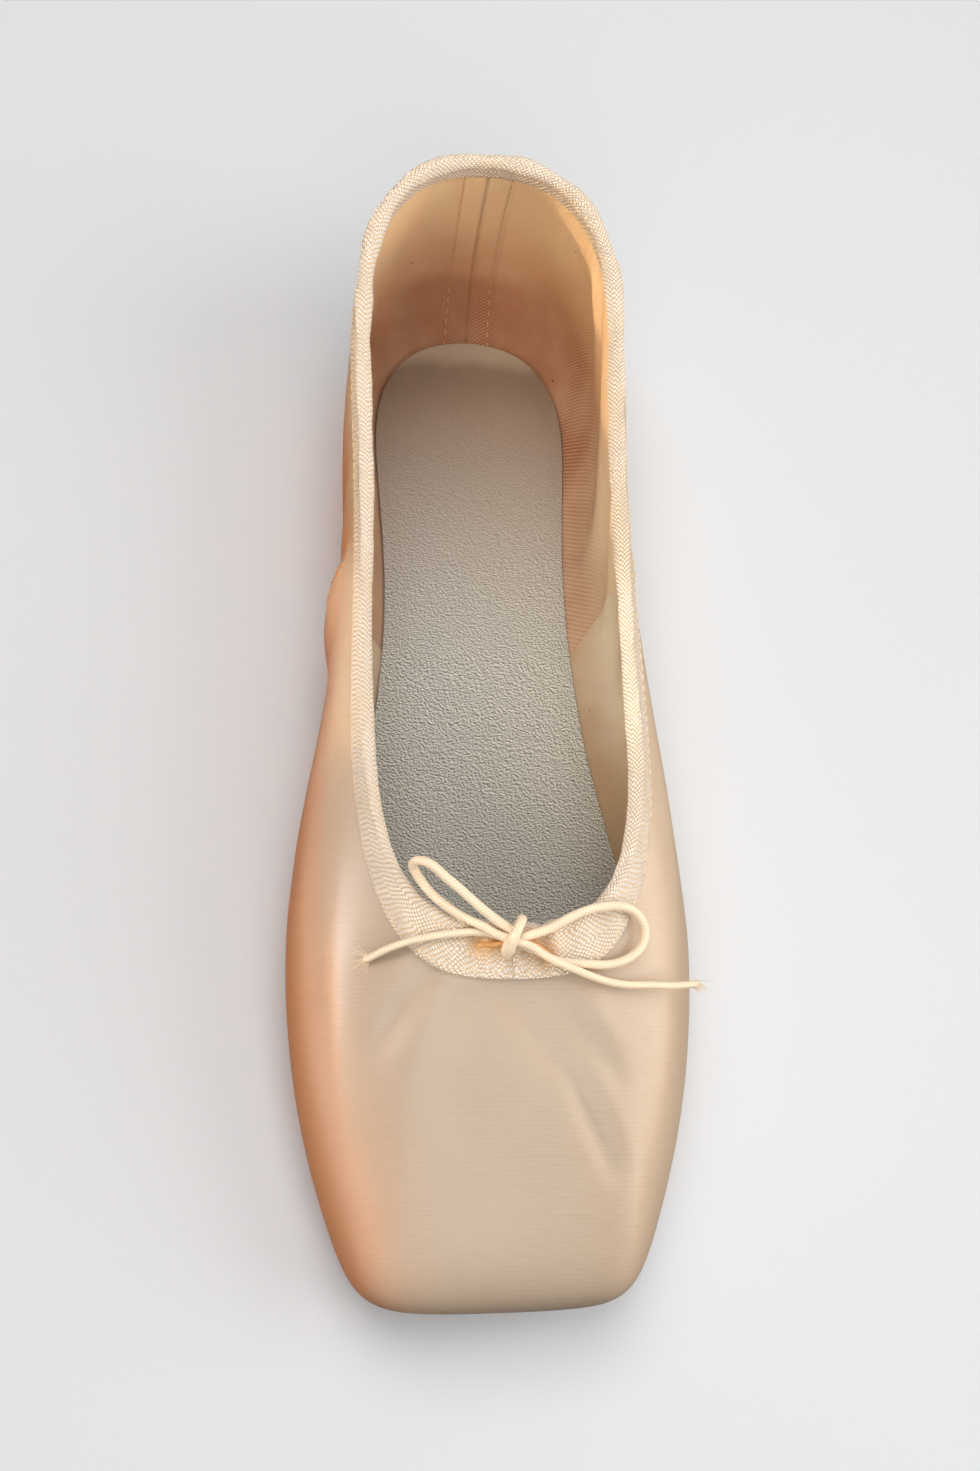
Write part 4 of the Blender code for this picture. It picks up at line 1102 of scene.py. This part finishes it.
# %% The stitch tree
stitch_tree = bpy.data.node_groups.new("Stitch run", "GeometryNodeTree")
inputs = {}
for label, kind, value in (
    ("Seam", "NodeSocketGeometry", None), ("Pitch", "NodeSocketFloat", 2.4 * MM),
    ("Stitch Length", "NodeSocketFloat", 1.8 * MM), ("Thread Radius", "NodeSocketFloat", 0.2 * MM),
    ("Thread", "NodeSocketMaterial", None),
):
    socket = stitch_tree.interface.new_socket(label, in_out="INPUT", socket_type=kind)
    if value is not None:
        socket.default_value = value
    inputs[label] = socket.identifier
stitch_tree.interface.new_socket("Stitches", in_out="OUTPUT", socket_type="NodeSocketGeometry")
given = add(stitch_tree, "NodeGroupInput")
even_run = {"Curve": given["Seam"], "Length": given["Pitch"]}
steps = add(stitch_tree, "GeometryNodeResampleCurve", even_run, mode="LENGTH")
way = add(stitch_tree, "GeometryNodeInputTangent")[0]
turn = add(stitch_tree, "FunctionNodeAlignRotationToVector", {"Vector": way}, axis="Z")[0]
half_length = add(stitch_tree, MATH, (given["Stitch Length"], 0.5), operation="MULTIPLY")[0]
radius = given["Thread Radius"]
size = add(stitch_tree, "ShaderNodeCombineXYZ", (radius, radius, half_length))[0]
bean = add(stitch_tree, "GeometryNodeMeshUVSphere", {"Segments": 7, "Rings": 5, "Radius": 1.0})[0]
stitch = add(stitch_tree, "GeometryNodeTransform", {"Geometry": bean, "Scale": size})[0]
smooth_bean = add(stitch_tree, "GeometryNodeSetShadeSmooth", {"Geometry": stitch})[0]
placed = {"Points": steps[0], "Instance": smooth_bean, "Rotation": turn}
row = add(stitch_tree, "GeometryNodeInstanceOnPoints", placed)[0]
real = add(stitch_tree, "GeometryNodeRealizeInstances", {"Geometry": row})[0]
threaded = add(stitch_tree, "GeometryNodeSetMaterial", {"Geometry": real, "Material": given["Thread"]})[0]
add(stitch_tree, "NodeGroupOutput", {"Stitches": threaded})
print("stitch tree:", len(stitch_tree.nodes), "nodes")


# %% Sew a seam
def sew(name, seams, pitch, length, radius, slot, material=thread):
    """Stitches along seams, each an array of points, as one plain mesh."""
    line = bpy.data.curves.new(name + "_line", "CURVE")
    line.dimensions = "3D"
    for seam in seams:
        spline = line.splines.new("POLY")
        spline.points.add(len(seam) - 1)
        spline.points.foreach_set("co", np.column_stack([seam, np.ones(len(seam))]).ravel())
    guide = bpy.data.objects.new(name + "_line", line)
    bpy.context.scene.collection.objects.link(guide)
    modifier = guide.modifiers.new("stitches", "NODES")
    modifier.node_group = stitch_tree
    settings = {"Pitch": pitch, "Stitch Length": length, "Thread Radius": radius, "Thread": material}
    for label, value in settings.items():
        modifier[inputs[label]] = value
    bpy.context.view_layer.update()
    ready = guide.evaluated_get(bpy.context.evaluated_depsgraph_get())
    piece = bpy.data.objects.new(name, bpy.data.meshes.new_from_object(ready))
    bpy.data.objects.remove(guide)
    bpy.data.curves.remove(line)
    bpy.context.scene.collection.objects.link(piece)
    return dress(piece, None, slot)


STITCH_INSET, PROUD, SEAM_STEPS, LAP_INSET = 1.1 * MM, 0.05 * MM, 60, 0.06
around = np.linspace(0, AROUND, 700)
seam_level = level_from_top(around, TAPE_OUTSIDE - STITCH_INSET)
tape_seam = outside(around, seam_level, TAPE_LIFT + TAPE_THICKNESS + PROUD)
sew("binding_stitches", [tape_seam], 2.3 * MM, 1.75 * MM, 0.17 * MM, "binding_tape")

levels = np.linspace(2.2, 7.0, SEAM_STEPS)
side_seams = []
for seam, inwards in ((right_seam, 1), (left_seam, -1)):
    point, normal = satin_face(seam(levels) + inwards * (LAP - LAP_INSET), levels)
    side_seams.append(point + normal * (LAP_RISE + PROUD))
sew("side_seam_stitches", side_seams, 2.2 * MM, 1.7 * MM, 0.17 * MM, "satin", rust)

# %% [markdown]
# ## Heel seam tape
# Inside the heel the two quarters meet at the back, and a strip of the same twill covers the seam
# allowances. It is stitched down along both edges, and the seam itself shows as a dark line at its
# middle.

# %% Tape the heel seam
HEEL_TAPE, SEAM_GROOVE, GROOVE_DEPTH = 6.8 * MM, 0.40 * MM, 0.30 * MM
HEEL_TAPE_THICKNESS, ROUNDED_SHARE, STITCHED_SHARE = 0.32 * MM, 0.12, 0.80
NEXT_PLACE = 0.1
levels = np.linspace(1.2, 7.4, 80)
side = np.linspace(-1, 1, 41)
heel_point, heel_normal = lining_face(np.full_like(levels, HEEL_PLACE), levels)
beside, _ = lining_face(np.full_like(levels, HEEL_PLACE + NEXT_PLACE), levels)
places_per_metre = NEXT_PLACE / np.linalg.norm(beside - heel_point, axis=1)
around = HEEL_PLACE + side[None, :] * (HEEL_TAPE * places_per_metre)[:, None]
level = np.broadcast_to(levels[:, None], around.shape)
face, normal = lining_face(around, level)
groove = bell(side * HEEL_TAPE, SEAM_GROOVE)
height = HEEL_TAPE_THICKNESS * smooth((1 - abs(side)) / ROUNDED_SHARE) - GROOVE_DEPTH * groove
top = face - normal * (height + PROUD)[None, :, None]
base = face + normal * PROUD
strip = np.concatenate([top, base[:, ::-1]], axis=1)
heel_tape = loft("heel_seam_tape", strip, reach_of(heel_point))
dark = 0.55 * groove + 0.3 * bell(abs(side) - STITCHED_SHARE, 0.05)
dark = np.tile(np.concatenate([dark, 0 * dark]), len(levels))
paint(heel_tape, "seam", dark)
dress(heel_tape, twill, "satin")
seams = [top[:, edge] - normal[:, edge] * PROUD for edge in (4, -5)]
sew("heel_tape_stitches", seams, 2.6 * MM, 1.9 * MM, 0.09 * MM, "satin", rust)

# %% [markdown]
# ## Floor and light
# A plain pale paper floor, and three soft lamps from behind, from the right and in front, so the top of
# the toe is in half light. A low warm lamp and a broad warm fill give the left side its copper glow. Two
# long narrow lamps pick out the ridges where the vamp and the quarter turn to the top, and three weak
# fills open the shadows on the right, at the heel and inside. All but the first three reach only the
# shoe, or only its inner pieces, or they would colour the floor. Cards beside the shoe would do the same
# with bounced light, but would show in the picture. The world is dim and brown on the left for the satin
# to mirror, and the camera sees a plain pale one. The floor throws no light back, because the low sides
# would turn pale, and the Standard view keeps the colours that the materials were given.

# %% Floor
FLOOR_SIZE = 3.0
floor_mesh = bpy.data.meshes.new("floor")
reach = FLOOR_SIZE / 2
corner_points = [(-reach, -reach, 0), (reach, -reach, 0), (reach, reach, 0), (-reach, reach, 0)]
floor_mesh.from_pydata(corner_points, [], [(0, 1, 2, 3)])
floor = bpy.data.objects.new("floor", floor_mesh)
bpy.context.scene.collection.objects.link(floor)
paper, tree, shader, place, cloth = new_material("backdrop_paper", 0.85)
tone = patches(tree, place, 330 * MM, 0.3, 0.7)
paper_colour = add(tree, MIX, {0: tone, 6: "#ECEAE5", 7: "#EFEDE8"}, **RGBA)[2]
tooth = add(tree, NOISE, {"Vector": place, "Scale": 1 / (1.1 * MM)})[0]
finish_with(tree, shader, paper_colour, tooth, 0.00002)
floor_mesh.materials.append(paper)


# %% Lamps
shoe_pieces = bpy.data.collections.new("shoe")
inner_pieces = bpy.data.collections.new("lining, tape and cord")
for piece in bpy.context.scene.objects:
    if piece.type == "MESH" and piece != floor:
        shoe_pieces.objects.link(piece)
        if not piece.name.startswith(("satin", "side", "leather")):
            inner_pieces.objects.link(piece)


def lamp(name, place, aim, size, power, colour, reaches=None, spread=180):
    """A soft lamp that isn't seen itself, shines at a point, and reaches one collection or everything."""
    data = bpy.data.lights.new(name, "AREA")
    data.shape = "RECTANGLE"
    data.size, data.size_y = size
    data.spread = math.radians(spread)
    data.energy = power
    data.color = linear(colour)[:3]
    light = bpy.data.objects.new(name, data)
    light.location = place
    light.rotation_euler = (Vector(aim) - Vector(place)).to_track_quat("-Z", "Y").to_euler()
    light.visible_camera = False
    if reaches:
        light.light_linking.receiver_collection = reaches
    bpy.context.scene.collection.objects.link(light)


SHOE_MIDDLE = (0, 0, 0.03)
lamp("softbox_back", (-0.10, 0.34, 1.0), SHOE_MIDDLE, (0.7, 0.7), 5.9, "#F5F8FF")
lamp("softbox_right", (0.70, -0.10, 0.60), SHOE_MIDDLE, (0.6, 0.6), 2.7, "#F6F9FF")
lamp("softbox_front", (0.0, -0.60, 0.85), SHOE_MIDDLE, (0.8, 0.8), 3.4, "#F5F8FF")
lamp("ridge_strip", (-0.360, -0.055, 0.135), (-0.035, -0.055, 0.051), (0.16, 0.05), 0.0108, "#FFFFFF",
     shoe_pieces, 2.5)
lamp("copper_glow", (-0.22, -0.055, 0.018), (0, -0.055, 0.018), (0.29, 0.036), 0.018, "#FF9E3C",
     shoe_pieces, 6)
lamp("edge_strip", (-0.360, 0.055, 0.144), (-0.028, 0.055, 0.058), (0.14, 0.05), 0.010, "#FFE6C2",
     shoe_pieces, 2.5)
lamp("warm_fill", (-0.55, 0.02, 0.20), (0, 0, 0.03), (0.5, 0.2), 0.34, "#FFBE74", shoe_pieces)
lamp("right_fill", (0.40, -0.06, 0.10), (0, -0.05, 0.02), (0.4, 0.1), 0.9, "#FFEEDC", shoe_pieces)
lamp("back_fill", (0.05, 0.65, 0.25), (0, 0.10, 0.03), (0.5, 0.3), 0.6, "#FFF1E2", shoe_pieces)
lamp("inner_fill", (-0.35, -0.25, 0.55), (0.02, 0.05, 0.03), (0.3, 0.3), 0.085, "#FFF0DC", inner_pieces, 30)
floor.visible_diffuse = floor.visible_glossy = False

# %% World
world = bpy.data.worlds.new("studio")
world.use_nodes = True
tree = world.node_tree
axes = add(tree, SPLIT, (add(tree, "ShaderNodeTexCoord")["Generated"],))
lowered = add(tree, MATH, (axes[2], -0.8), operation="MULTIPLY")[0]
leftward = add(tree, MATH, (lowered, axes[0]), operation="SUBTRACT")[0]
dim_side = add(tree, SPAN, (leftward, -0.45, 0.25), **SOFTLY)[0]
below = add(tree, SPAN, (axes[2], 0.05, -0.35), **SOFTLY)[0]
sky = add(tree, MIX, {0: below, 6: "#F4F4F6", 7: "#C9C2B8"}, **RGBA)[2]
glow = add(tree, MIX, {0: dim_side, 6: sky, 7: "#4E381E"}, **RGBA)[2]
seen = add(tree, "ShaderNodeLightPath")["Is Camera Ray"]
backdrop = add(tree, MIX, {0: seen, 6: glow, 7: "#F2F2F2"}, **RGBA)[2]
tree.links.new(backdrop, tree.nodes["Background"].inputs["Color"])
strength = add(tree, SPAN, (seen, 0.0, 1.0, 0.25, 0.8))[0]
tree.links.new(strength, tree.nodes["Background"].inputs["Strength"])
bpy.context.scene.world = world
bpy.context.scene.view_settings.view_transform = "Standard"
print("floor,", len(bpy.data.lights), "lamps and a pale world")
